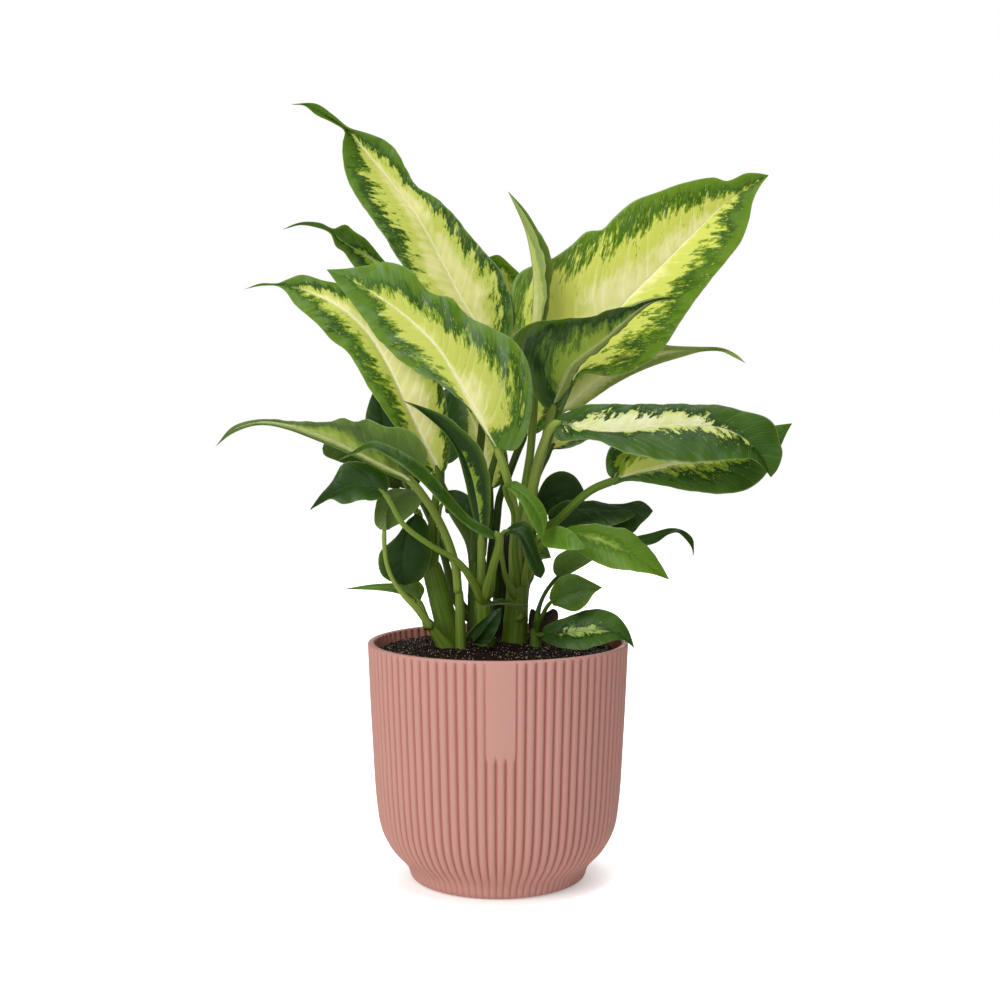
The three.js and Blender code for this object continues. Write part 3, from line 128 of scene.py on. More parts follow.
LEAF_PLANS: dict[str, LeafPlan] = {
    "leaf_crown_left": LeafPlan(
        "shoot_left_back", Tone.CREAM, puff=(1.5, 2),
        stalk=((-12, 166, 25), (-12.5, 210, 20), (-9, 250, 13)),
        rib=((-7, 284, 12), (-24, 318, 18), (-45, 357, 24), (-68, 386, 26), (-81, 401, 23),
             (-91, 407.5, 19), (-101, 413.5, 16), (-110, 414, 14)),
        left=((-20, 292, 8), (-34, 308, 11), (-43, 319, 14), (-52, 330, 15), (-62, 346, 17),
              (-71, 358.5, 20), (-79.5, 372, 22), (-83, 385, 22), (-83, 394, 21), (-82, 400, 21),
              (-88, 404.3, 19), (-97, 408.5, 17), (-103, 413.2, 15)),
        right=((3, 287, 8), (6.8, 297, 8), (6.5, 308, 8), (1, 325.5, 9), (-12, 341, 12),
               (-31, 363, 17), (-44, 371.5, 21), (-49.3, 379.5, 21), (-54, 389, 21),
               (-62, 396, 22), (-73, 399.8, 22), (-80, 402, 21), (-88, 408.5, 18),
               (-97, 414.3, 16)),
    ),
    "leaf_back_left_tip": LeafPlan(
        "shoot_left_back", Tone.DARK, puff=(1, 1),
        stalk=((-12.5, 156, 26), (-15, 182, 31), (-26, 201, 33), (-36, 226, 36), (-39, 264, 41)),
        rib=((-40, 292, 44), (-56, 318, 46), (-68, 333, 45), (-82, 342, 43), (-91, 348.5, 41),
             (-102, 351.5, 39), (-115, 348.5, 36)),
        left=((-46, 298, 42), (-66, 318, 44), (-77, 328.5, 43), (-79.5, 332, 43), (-83, 336.8, 42),
              (-87, 339.5, 42), (-90, 346.5, 41), (-97, 349.5, 40), (-107, 350.8, 38)),
        right=((-38, 300, 46), (-52, 322, 47), (-63, 334, 47), (-69, 341.5, 46), (-73, 345, 45),
               (-77, 347.5, 44), (-81, 351, 44), (-84, 350.8, 43), (-88, 349, 42), (-95, 352, 41),
               (-104, 352.6, 39), (-110, 351, 37)),
    ),
    "leaf_front_left_large": LeafPlan(
        "shoot_right", Tone.CREAM, light=0.85, puff=(1, 2.5),
        stalk=((9, 158, 2), (8, 180, -8), (8, 198, -20), (4.5, 214, -31)),
        rib=((-1, 231, -38), (-11, 249, -47), (-22, 268, -52), (-33, 286, -55), (-48, 301, -56),
             (-65, 313.5, -56), (-79, 321.5, -54), (-92, 327.5, -50)),
        left=((-6, 237, -38), (-10, 244, -42), (-15, 252.5, -46), (-29, 264.5, -46),
              (-50, 277, -46), (-65, 291, -47), (-75, 305, -48), (-85, 318, -50)),
        right=((8, 231.5, -38), (13.5, 239, -40), (16.5, 250, -43), (17.5, 264, -45),
               (15, 278, -47), (8, 289.5, -48), (-4, 296.5, -49), (-16, 302.5, -50),
               (-22, 308.3, -51), (-26, 312.8, -51), (-33, 314, -52), (-39, 317, -52),
               (-48, 327.5, -53), (-60, 331.5, -53), (-72, 329.5, -52), (-82, 328, -51)),
    ),
    "leaf_left_long": LeafPlan(
        "shoot_left", Tone.CREAM, puff=(1.5, 1.5),
        stalk=((-37, 166, 4), (-37, 185, -2), (-34.5, 204, -10)),
        rib=((-33, 219, -17), (-41, 237, -22), (-50, 256, -27), (-60.6, 278.5, -31),
             (-73, 297, -33), (-89, 310, -32), (-106, 317.5, -29), (-117, 319.5, -27),
             (-127, 319.5, -26), (-136, 317, -24)),
        left=((-40, 222, -20), (-50, 234, -26), (-57, 245.5, -30), (-70, 265, -34),
              (-81, 283.5, -35), (-90, 290.5, -35), (-97, 298.5, -34), (-109, 309, -31),
              (-114, 316, -29), (-118, 318.6, -27), (-127, 318.8, -26)),
        right=((-29, 221, -17), (-27, 229, -19), (-27, 238, -21), (-27.6, 249, -24),
               (-31, 266.5, -27), (-46.5, 289, -29), (-66, 308, -30), (-80, 319, -30),
               (-93, 321.5, -30), (-105, 324.8, -29), (-113, 322.3, -28), (-118, 320.3, -27),
               (-127, 320.2, -26)),
    ),
    "leaf_right_large": LeafPlan(
        "shoot_right_back", Tone.CREAM, puff=(3, 2),
        stalk=((13, 162, 27), (16.5, 190, 25), (19.4, 219, 20), (24.8, 234, 15), (30, 249, 10)),
        rib=((37, 266, 6), (50, 288, 10), (66, 310, 14), (85, 329, 18), (103, 347, 21),
             (120, 363, 22), (142, 377, 20)),
        left=((22, 270, 8), (11, 284, 9), (7, 297, 9), (5.5, 314, 10), (10, 325.5, 11),
              (28, 333.5, 12), (38, 340.5, 12), (46, 347.5, 13), (54, 348.5, 14), (60, 354.5, 15),
              (70, 363, 15), (84, 368.5, 16), (97, 373, 17), (113, 375.8, 18), (120, 374, 18),
              (130, 378, 19), (137, 378, 19)),
        right=((44, 272, 3), (59, 271, 2), (72, 274.5, 4), (86, 285, 7), (98, 303, 10),
               (108, 317, 13), (120, 332, 15), (127, 341, 16), (131.5, 352, 17), (134, 364, 19),
               (138, 372, 19)),
    ),
    "leaf_young_upright": LeafPlan(
        "shoot_right", Tone.CREAM, puff=(-0.5, -0.5),
        stalk=((11, 163, 4), (12.4, 190, 3), (13.8, 212, 3), (16.4, 232, 2), (18.4, 262, 1)),
        rib=((19, 291, 0), (19.8, 308, 0), (19.3, 323, 0), (17, 338, 0), (14, 349, 0),
             (9.5, 359, 0), (4.5, 368.5, -1)),
        left=((21, 296, -5), (24.3, 310, -8), (24.5, 322, -8), (23.5, 333, -7), (19.5, 345, -5),
              (13.5, 356, -3)),
        right=((24, 298, 4), (26, 310, 6), (27.3, 323, 6), (28, 331, 5), (25.5, 339, 4),
               (20.5, 347.5, 3), (14, 358, 1)),
    ),
    "leaf_crown_middle": LeafPlan(
        "shoot_left_back", Tone.GREEN, puff=(1, 1),
        stalk=((-11, 168, 26), (-7, 210, 36), (4, 250, 42)),
        rib=((9, 277, 42), (8, 300, 40), (3, 320, 36), (-6, 334, 30)),
        left=((0, 284, 40), (-6, 300, 38), (-10, 318, 35), (-10, 330, 32)),
        right=((17, 286, 43), (19, 302, 41), (13, 322, 37), (6, 329.5, 33), (-1, 335.2, 30)),
    ),
    "leaf_right_curled": LeafPlan(
        "shoot_right", Tone.DARK, light=0.8, puff=(-4, 0),
        stalk=((12, 165, 4), (16, 200, -3), (23, 232, -9)),
        rib=((28, 254, -13), (33, 266, -15), (38.5, 276.5, -16), (48, 284.5, -18),
             (57, 291.5, -19), (67, 300.5, -20), (79, 309.5, -20), (95, 312.8, -18)),
        left=((24, 254, -18), (18, 262, -22), (12, 275, -24), (5, 288, -25), (9, 295, -26),
              (18, 299.5, -27), (35, 301.5, -28), (48, 302.5, -27), (57, 305.8, -26),
              (70, 308.3, -24), (79, 311.2, -22), (87, 312.8, -20)),
        right=((32, 253, -10), (37, 264, -9), (41, 274, -9), (49, 281.5, -10), (58, 289, -12),
               (67, 298, -14), (74, 304.5, -16), (82, 310, -17)),
    ),
    "leaf_right_under": LeafPlan(
        "shoot_right_back", Tone.CREAM, shows=Side.UNDER, puff=(1, 1),
        stalk=((13, 165, 29), (16, 190, 31), (17.6, 208, 34), (19.6, 219, 36), (24.2, 234, 38)),
        rib=((30.5, 249, 40), (45, 263, 45), (62, 275, 50), (80, 281.5, 54), (97, 284.3, 56),
             (112, 285.4, 56), (122, 284.3, 52), (131, 277.8, 48)),
        left=((31, 255, 39), (37, 266, 42), (46, 275, 46), (62, 284, 50), (80, 289, 53),
              (91, 287.3, 55), (105, 286.7, 55), (118, 286.1, 52), (126, 282.5, 50)),
        right=((35, 252, 40), (42, 253.5, 43), (49, 258.5, 46), (64, 268.3, 50), (80, 275.8, 53),
               (98, 281.5, 55), (108, 284.1, 55), (118, 284, 52), (125, 280.8, 50)),
    ),
    "leaf_right_level_upper": LeafPlan(
        "shoot_right", Tone.CREAM, light=1.0, puff=(1.5, 2),
        stalk=((12, 168, 4), (16, 205, -8), (22, 232, -24)),
        rib=((30, 246, -34), (44, 243.5, -39), (60, 241.5, -43), (80, 243.5, -46), (100, 245, -48),
             (120, 243, -50), (133, 236, -51), (141, 226, -52), (145, 217, -52)),
        left=((31, 249.5, -32), (37, 252.5, -31), (46, 255.8, -33), (70, 256.2, -38),
              (96, 256.3, -42), (120, 255.2, -46), (132, 252, -48), (142, 249.2, -49),
              (147, 244.5, -50), (149.5, 236, -51), (151, 230, -52), (148.5, 221.5, -52)),
        right=((28.6, 240, -36), (32, 236.5, -39), (40, 237, -43), (49, 237.6, -46),
               (64, 231.5, -54), (85, 226.3, -60), (105, 225, -62), (122, 226.3, -61),
               (135, 226.7, -58), (141, 222, -54)),
    ),
    "leaf_right_level_lower": LeafPlan(
        "shoot_right_back", Tone.GREEN, light=0.5, puff=(1, 1.5),
        stalk=((13, 156, 27), (19, 180, 18), (34, 197, 2), (48.5, 210, -8)),
        rib=((60, 215, -12), (72, 219, -12), (84, 222.3, -13), (97, 225.3, -14), (115, 227, -15),
             (132, 230, -15), (146, 237, -14), (156, 246, -12)),
        left=((57.5, 219, -10), (56.6, 227, -8), (60, 234.5, -6), (74, 239, -5), (95, 241, -5),
              (118, 242, -6), (136, 243, -9), (148, 245, -12)),
        right=((67, 215, -14), (78, 214.3, -17), (100, 210, -20), (119, 208.2, -21),
               (131, 210, -19), (140, 216, -17), (147, 227, -15), (153, 240.5, -13)),
    ),
    "leaf_left_level": LeafPlan(
        "shoot_left_slim", Tone.CREAM, light=0.75, shows=Side.UNDER, puff=(0.5, 2),
        stalk=((-22.5, 155, -18), (-24, 170, -20), (-30, 188, -26), (-39, 204, -36)),
        rib=((-49, 216, -44), (-60, 221.5, -48), (-71, 227, -51), (-83, 233, -53),
             (-100, 240, -53), (-115, 244.8, -51), (-130, 246.3, -46), (-143, 242, -43),
             (-152, 233.5, -42)),
        left=((-53, 215.5, -46), (-62, 219.5, -50), (-80, 229.5, -54), (-96, 236.8, -55),
              (-113, 243.2, -53), (-130, 244.8, -47), (-143, 240.3, -44)),
        right=((-44, 217, -42), (-39.5, 224, -40), (-39, 231, -40), (-46, 240.5, -42),
               (-53, 244, -44), (-60, 243.8, -45), (-65, 245.7, -46), (-71, 248.5, -47),
               (-77, 246.6, -48), (-84, 248.7, -49), (-91, 247, -50), (-100, 246.6, -51),
               (-114, 247.5, -50), (-130, 248, -46), (-143, 244, -43)),
    ),
    "leaf_left_arching": LeafPlan(
        "shoot_middle_front", Tone.GREEN, light=0.6, puff=(0, 0),
        stalk=((-8, 150, -12), (-4, 168, -34)),
        rib=((-1, 186, -50), (-15, 191.5, -60), (-29, 206, -66), (-40, 217, -68), (-50, 225, -70),
             (-60, 231, -69), (-70, 234.2, -68), (-79, 230.5, -67), (-87, 226, -66)),
        left=((-7, 184.5, -56), (-20, 193, -65), (-32, 204, -70), (-43, 215.5, -72),
              (-52, 223, -73), (-61, 229, -72), (-69, 232, -70), (-78, 229.3, -68)),
        right=((-7, 190.5, -52), (-16, 196, -58), (-28, 209.5, -62), (-37, 219.5, -64),
               (-46, 227, -66), (-58, 233.7, -66), (-68, 236.6, -65), (-76, 232.7, -65)),
    ),
    "leaf_left_dark": LeafPlan(
        "shoot_middle_front", Tone.DARK, puff=(0.5, 0.5),
        stalk=((-8, 146, -12), (-14, 160, -24), (-23, 172, -34), (-38, 181, -42), (-52, 192, -45)),
        rib=((-62, 208.5, -42), (-72, 214, -40), (-84, 211, -40), (-94, 205.5, -40),
             (-102, 199.5, -40)),
        left=((-64, 206, -44), (-68, 204.6, -45), (-76, 204.8, -45), (-83.5, 202.3, -44),
              (-90.5, 205.5, -42), (-96, 203, -41)),
        right=((-59, 213, -40), (-63, 221.5, -38), (-74, 225.3, -37), (-84, 224.5, -38),
               (-87.7, 219, -38), (-91, 213.5, -39), (-96, 208, -40)),
    ),
    "leaf_left_tucked": LeafPlan(
        "shoot_left", Tone.DARK, shows=Side.UNDER, puff=(0.5, 0.5),
        stalk=((-37, 168, 4), (-44, 196, 2)),
        rib=((-52, 216, -8), (-66, 225, -20), (-80, 230, -26), (-95, 232.5, -28)),
        left=((-54, 211, -10), (-62, 212.5, -14), (-74, 221, -23), (-87, 225.8, -28),
              (-94, 229, -29)),
        right=((-52, 223, -8), (-66, 231, -18), (-82, 236, -24), (-93, 236.7, -27)),
    ),
    "leaf_left_folded": LeafPlan(
        "shoot_left_front", Tone.GREEN, light=0.95, shows=Side.UNDER, puff=(1, 1),
        stalk=((-37, 136, -12), (-44.6, 146.5, -16), (-50.8, 152.7, -18), (-57, 161, -21),
               (-60.6, 170, -24), (-62, 180, -27)),
        rib=((-62, 189, -30), (-61, 199, -26), (-55, 206, -20), (-46, 210, -14)),
        left=((-67, 192, -31), (-67, 200, -28), (-65, 207, -24), (-57, 211, -18)),
        right=((-58, 190, -28), (-51, 194, -24), (-43, 202, -18), (-41, 208, -15)),
    ),
    "leaf_left_hanging": LeafPlan(
        "shoot_left", Tone.DARK, puff=(1, 1), stalk=((-37, 168, 4), (-41.5, 188, -5)),
        rib=((-44, 199, -12), (-49, 189, -16), (-52, 174, -15), (-51, 159, -12)),
        left=((-39.5, 193, -12), (-36.5, 180, -11), (-38.5, 168, -11), (-43, 161.5, -12)),
        right=((-49, 194.5, -16), (-55.5, 185.5, -17), (-61, 180.5, -17), (-64.6, 176.5, -17),
               (-65.4, 170, -16), (-63.5, 164.5, -14), (-58, 160.6, -13)),
    ),
    "leaf_left_low_slender": LeafPlan(
        "shoot_left_front", Tone.GREEN, puff=(0, 0), stalk=((-39, 136, -12), (-41, 145, -4)),
        rib=((-44, 151, 2), (-50, 155.5, 5), (-58, 157.6, 6), (-69, 158, 6), (-84, 157, 6)),
        left=((-46, 151.3, 1), (-50, 153, 2), (-56, 154.8, 3), (-63, 156, 4), (-70, 156.6, 5)),
        right=((-40.5, 156.5, 4), (-44, 161.5, 6), (-50, 161, 8), (-57, 160.2, 9), (-63, 160, 9),
               (-70, 159.4, 8)),
    ),
    "leaf_left_behind": LeafPlan(
        "shoot_left_back", Tone.DARK, face=(-0.35, -0.85, 0.3), halves=(11.5, 11.5), lift=(6, 6),
        belly=0.45, drip=0.08, puff=(1, 1), wave=0.7, waves=2,
        stalk=((-11.5, 136, 25), (-23, 151, 24), (-30, 174, 22), (-38, 196, 16)),
        rib=((-46, 212, 10), (-57, 230, 6), (-63, 250, 4), (-65, 272, 3)),
    ),
    "leaf_middle_dark": LeafPlan(
        "shoot_middle_front", Tone.DARK, puff=(0, 0.5), stalk=((-9, 146, -12), (-10, 164, -18)),
        rib=((-10, 184, -24), (-12, 202, -28), (-15, 217, -30), (-20, 230, -32), (-30, 242.5, -33),
             (-41, 252, -34), (-51.5, 258, -34)),
        left=((-13, 190, -25), (-16.5, 204, -28), (-19, 216, -31), (-23, 230, -33),
              (-29, 240.5, -34), (-40, 250.5, -35), (-47, 256, -35)),
        right=((-6, 190, -26), (-5, 206, -30), (-6, 220, -33), (-9, 230, -34), (-15, 238, -35),
               (-22, 244.5, -36), (-30, 250.3, -36), (-41, 254.6, -35)),
    ),
    "leaf_middle_tucked": LeafPlan(
        "shoot_left", Tone.DARK, puff=(0, 0), stalk=((-36, 162, 4), (-33, 184, -3)),
        rib=((-31, 203, -10), (-25, 206, -12), (-18, 202, -13), (-13, 192, -14)),
        left=((-30, 209, -9), (-23, 210.3, -11), (-16, 206.5, -12), (-12, 198, -13)),
        right=((-29, 198, -11), (-22, 197, -13), (-15, 191, -15)),
    ),
    "leaf_right_round": LeafPlan(
        "shoot_right_back", Tone.DARK, puff=(0.5, 0.5), stalk=((13, 158, 28), (17, 182, 36)),
        rib=((21, 198, 40), (28, 206, 42), (37, 210, 42), (46, 207, 40)),
        left=((19, 202, 40), (20.5, 209, 42), (25, 217, 44), (32, 220.5, 45), (39, 218.5, 44),
              (43.5, 213, 42)),
        right=((26, 197, 38), (34, 198, 38), (42, 201, 39)),
    ),
    "leaf_right_dark": LeafPlan(
        "shoot_right_back", Tone.DARK, puff=(0.5, 0.5), stalk=((13, 152, 27), (17, 174, 24)),
        rib=((27, 193, 18), (42, 198, 14), (58, 199.5, 10), (73, 197.5, 6)),
        left=((26, 198.5, 20), (33, 203.7, 20), (46, 204.8, 17), (58, 203, 13), (67, 200, 8)),
        right=((31, 190, 14), (44, 190, 9), (58, 191, 6), (68, 194, 5)),
    ),
    "leaf_right_dark_back": LeafPlan(
        "shoot_right_back", Tone.DARK, puff=(0.5, 0.5), stalk=((13, 154, 28), (20, 180, 32)),
        rib=((40, 197, 30), (55, 199.5, 27), (70, 200, 23), (82, 199, 20)),
        left=((44, 201, 31), (56, 202.8, 29), (66, 203, 26), (75, 204.6, 23), (79.5, 202, 21)),
        right=((46, 191, 27), (60, 188, 23), (71, 187, 20), (75.5, 192, 20), (79.5, 195.7, 20)),
    ),
    "leaf_right_bright": LeafPlan(
        "shoot_right", Tone.GREEN, puff=(1, 1), stalk=((12, 158, 4), (20, 178, -8)),
        rib=((34, 187, -20), (51, 184, -30), (64, 179, -36), (77, 171.5, -41), (91, 162, -44)),
        left=((37, 190.5, -18), (47, 192, -20), (60, 190.8, -24), (70, 188, -28), (80, 179, -34),
              (87, 169.5, -40)),
        right=((38, 181, -26), (45, 175, -32), (57, 169, -38), (70, 166.7, -43), (82, 165, -45)),
    ),
    "leaf_right_short": LeafPlan(
        "shoot_right", Tone.GREEN, puff=(0, 0), stalk=((12, 156, 4), (15, 174, -14)),
        rib=((21.5, 185.5, -30), (31, 186.5, -42), (39, 184, -48), (46, 178.5, -51)),
        left=((25, 188.8, -34), (31, 191, -40), (38, 188.5, -45), (43, 183.5, -49)),
        right=((24, 180, -36), (31, 178.6, -44), (39, 178, -50)),
    ),
    "leaf_right_ribbon": LeafPlan(
        "shoot_right_back", Tone.DARK, puff=(0, 0),
        stalk=((13, 154, 27), (18, 177, 25), (31, 185, 20), (45, 182, 15)),
        rib=((56, 176, 12), (72, 181.5, 8), (82, 185, 6), (90, 187.8, 4), (96, 188.3, 2),
             (101, 184.5, 1), (103.7, 179, 0), (103.5, 173, 0)),
        left=((60, 182, 14), (71, 185, 11), (80, 187, 9), (92, 189.9, 6), (98.5, 188.5, 4),
              (103.3, 184.3, 2), (104.1, 179, 0)),
        right=((64, 177, 8), (76, 179.8, 4), (84, 182, 3), (90, 186.3, 2), (95, 187.6, 1),
               (99, 184.5, 0), (102.8, 179, 0)),
    ),
    "leaf_middle_arching": LeafPlan(
        "shoot_right", Tone.GREEN, puff=(0.5, 0.5),
        stalk=((9.5, 156, 1), (8.2, 176, -9), (7.5, 196, -20), (3.2, 208, -34)),
        rib=((3, 213, -40), (12, 208, -44), (19, 199, -46), (23, 190.5, -46), (22, 183.5, -46)),
        left=((8, 215.3, -38), (16, 210, -42), (23, 202.5, -44), (25.5, 195, -45), (24, 188, -46)),
        right=((6, 209.5, -43), (12, 202, -47), (16, 194, -48), (19.5, 187.5, -47)),
    ),
    "leaf_middle_drooping": LeafPlan(
        "shoot_right", Tone.DARK, puff=(0.5, 0.5), stalk=((9, 150, 2), (2, 168, -16)),
        rib=((2, 188, -28), (10, 187, -32), (16, 178, -35), (20, 169, -36), (22, 162.6, -36)),
        left=((7, 192, -27), (14, 193.7, -29), (18, 187, -31), (21, 176, -33), (24.3, 167, -35)),
        right=((6, 187, -31), (11, 181, -35), (14.5, 172, -37), (18.5, 164.5, -37)),
    ),
    "leaf_right_ribbed": LeafPlan(
        "shoot_right_small", Tone.GREEN, shows=Side.UNDER, puff=(0.5, 0.5),
        stalk=((19, 133, 4), (21, 147, 6), (25, 156, 7)),
        rib=((31, 163.5, 8), (37, 169, 8), (45, 174.5, 8), (54, 178, 8)),
        left=((28.5, 167, 8), (29.5, 173.5, 10), (36, 178, 12), (45, 180.5, 12)),
        right=((35, 163.5, 6), (41, 167, 5), (49, 172, 5), (53, 176, 7)),
    ),
    "leaf_right_small": LeafPlan(
        "shoot_right_small", Tone.GREEN, puff=(0.5, 0.5), stalk=((18.5, 131, 4), (22, 141, -3)),
        rib=((27.5, 150, -9), (35, 153.5, -12), (45, 156.5, -14), (55, 157.8, -15)),
        left=((27.2, 156, -8), (31, 162.3, -9), (39, 165.2, -11), (48, 161.5, -13)),
        right=((31, 147.5, -12), (40, 144.8, -15), (46, 148, -16), (50.5, 154.5, -16)),
    ),
    "leaf_right_rim": LeafPlan(
        "shoot_right_small", Tone.GREEN, puff=(1, 1), stalk=((19, 132, 3),),
        rib=((22, 132, -3), (32, 132.5, -8), (45, 134, -12), (57, 134.5, -15), (66, 131.5, -16),
             (72.5, 125, -16)),
        left=((23, 136, -1), (31, 140, -3), (43, 144.5, -6), (54, 146.3, -9), (63, 142.5, -12),
              (69, 135, -14)),
        right=((25, 128, -7), (33, 125, -13), (45, 124.3, -19), (54, 126.5, -21), (61, 129.2, -20),
               (67, 129, -18)),
    ),
    "leaf_dried_sheath": LeafPlan(
        "shoot_right_small", Tone.DRY, puff=(0, 0), stalk=((19.3, 130.8, 3), (19.7, 132, 7)),
        rib=((20, 133.5, 9.5), (22, 137.5, 11.5), (25, 142, 12.5), (28.6, 146.5, 13)),
        left=((16, 134, 11), (15.4, 140, 12), (17, 146.5, 13), (21.5, 143.2, 13)),
        right=((24, 134, 10), (29, 138, 12), (31.3, 141, 13), (30.8, 145, 13)),
    ),
    "leaf_middle_low": LeafPlan(
        "shoot_middle_front", Tone.DARK, shows=Side.UNDER, puff=(0.5, 0.5),
        stalk=((-8, 128, -8), (-10, 131, -18)),
        rib=((-13, 129.5, -26), (-9, 134.5, -28), (-4, 141, -30), (1, 147, -30)),
        left=((-18, 131.5, -26), (-14, 136.5, -28), (-8, 141.5, -30), (-3, 145.5, -30)),
        right=((-11, 127, -27), (-6, 128, -29), (-2, 134, -31), (0.5, 141, -31)),
    ),
    "leaf_middle_sliver": LeafPlan(
        "shoot_right", Tone.DARK, face=(0, -0.25, 1), halves=(4, 4), lift=(8, 8), belly=0.4,
        drip=0.1, puff=(0, 0), wave=0.4, waves=2, stalk=((9, 140, 2), (13, 143, -12)),
        rib=((12, 147.3, -24), (4, 149.7, -38), (-6, 149, -44), (-14, 147.3, -46)),
    ),
    "leaf_back_high": LeafPlan(
        "shoot_back", Tone.CREAM, face=(-0.1, -0.85, 0.5), halves=(16, 16), lift=(10, 10),
        belly=0.36, drip=0.12, puff=(1.5, 1.5), wave=1, waves=3,
        stalk=((-0.8, 150, 32), (-3.8, 166, 34), (-3.6, 180, 37), (-1.6, 195, 42), (-0.2, 206, 47),
               (4.1, 217, 51), (9, 230, 57)),
        rib=((13, 240, 62), (16, 262, 74), (20, 284, 88), (27, 300, 104)),
    ),
    "leaf_back_left": LeafPlan(
        "shoot_back", Tone.CREAM, face=(0, -0.85, 0.5), halves=(11.5, 11.5), lift=(10, 10),
        belly=0.36, drip=0.12, puff=(1.5, 1.5), wave=1, waves=3,
        stalk=((0, 162, 33), (-3.8, 182, 42), (-5, 198, 50)),
        rib=((-5.5, 211, 56), (-8, 228, 66), (-14, 247, 80), (-22, 262, 98)),
    ),
    "leaf_back_right": LeafPlan(
        "shoot_back", Tone.CREAM, face=(0.1, -0.5, 0.86), halves=(11.5, 11.5), lift=(8, 8),
        belly=0.36, drip=0.12, puff=(1.5, 1.5), wave=1, waves=3,
        stalk=((3, 160, 33), (9, 185, 44), (16.8, 210, 56), (22, 222.5, 64), (24.8, 228, 68)),
        rib=((27, 233, 72), (42, 242.5, 86), (60, 246, 102), (76, 240, 116)),
    ),
    "leaf_back_low_left": LeafPlan(
        "shoot_back", Tone.GREEN, face=(-0.1, -0.1, 0.98), halves=(13, 13), lift=(6, 6), belly=0.4,
        drip=0.1, puff=(1, 1), wave=0.7, waves=2, stalk=((0, 152, 32), (-14, 163, 50)),
        rib=((-30, 176, 66), (-42, 184, 82), (-50, 182, 98), (-53, 172, 112)),
    ),
    "leaf_back_low_right": LeafPlan(
        "shoot_back", Tone.GREEN, face=(0.1, -0.9, 0.4), halves=(6.5, 6.5), lift=(6, 6), belly=0.4,
        drip=0.1, puff=(1, 1), wave=0.7, waves=2, stalk=((3, 150, 32), (6, 163, 41)),
        rib=((11, 174, 50), (17, 178, 58), (23, 177, 66), (29, 172.5, 72)),
    ),
    "leaf_back_middle": LeafPlan(
        "shoot_left_back", Tone.GREEN, face=(-0.1, -0.9, 0.4), halves=(12, 12), lift=(8, 8),
        belly=0.38, drip=0.1, puff=(1, 1), wave=0.8, waves=2,
        stalk=((-11.5, 156, 25), (-14, 184, 36), (-24, 197, 46), (-30.6, 210, 52)),
        rib=((-31, 224, 58), (-29, 240, 66), (-27, 256, 78), (-23, 272, 92)),
    ),
}

SHOOT_PLANS: dict[str, ShootPlan] = {
    "shoot_left_front": ShootPlan((-28, -8), (-40, 141, -12), 4.8, light=0.6),
    "shoot_left": ShootPlan((-25.2, 8), (-37.4, 172, 4), 6.7, light=0.55),
    "shoot_left_slim": ShootPlan((-19.5, -16), (-22, 158, -18), 2.9, light=0.7),
    "shoot_middle_front": ShootPlan((-7, -5), (-9, 152, -12), 5.5, light=0.6),
    "shoot_right": ShootPlan((9, 9), (10, 168, 4), 7, light=0.6),
    "shoot_right_small": ShootPlan((20.5, -2), (18.5, 136, 4), 3.4, light=0.3),
    "shoot_left_back": ShootPlan((-11.5, 24), (-12, 176, 26), 5.9, light=0.3),
    "shoot_right_back": ShootPlan((8.5, 27), (13.3, 170, 28), 5.4, light=0.4),
    # painted shade: a dark, brown cane set in the shaded gap behind the others
    "shoot_back": ShootPlan((1, 39), (3.8, 187, 34), 5.8, light=0.1, brown=0.8),
}

# ---- Points and curves -----------------------------------


def seen(points: Points) -> np.ndarray:
    """Moves sheet points along their lines of sight to their own depths.

    Args:
        points: (across, up, depth) of each point.

    Returns:
        One row of x, y and z in mm for each point.
    """
    p = np.asarray(points, float).reshape(-1, 3)
    scale = 1 + p[:, 2] / VIEW_DISTANCE
    up = VIEW_HEIGHT + (p[:, 1] - VIEW_HEIGHT) * scale
    return np.stack([VIEW_ASIDE + p[:, 0] * scale, p[:, 2], up], axis=1)


def unit(vectors: np.ndarray) -> np.ndarray:
    """Each vector at length one."""
    return vectors / np.maximum(np.linalg.norm(vectors, axis=-1, keepdims=True), TINY)


def square_to(vectors: np.ndarray, axes: np.ndarray) -> np.ndarray:
    """Each vector made square to its axis, at length one."""
    return unit(vectors - np.sum(vectors * axes, axis=-1, keepdims=True) * axes)


def smooth_step(value: np.ndarray, start: float, end: float) -> np.ndarray:
    """A soft rise from 0 at start to 1 at end."""
    t = np.clip((np.asarray(value, float) - start) / (end - start), 0, 1)
    return t * t * (3 - 2 * t)


def bump(value: np.ndarray, centre: float, reach: float) -> np.ndarray:
    """A bell of height one round centre."""
    return np.exp(-(((value - centre) / reach) ** 2))


@dataclass(frozen=True)
class Stations:
    """Points and directions at chosen shares of a curve's length."""

    shares: np.ndarray
    points: np.ndarray
    ahead: np.ndarray
    length: float


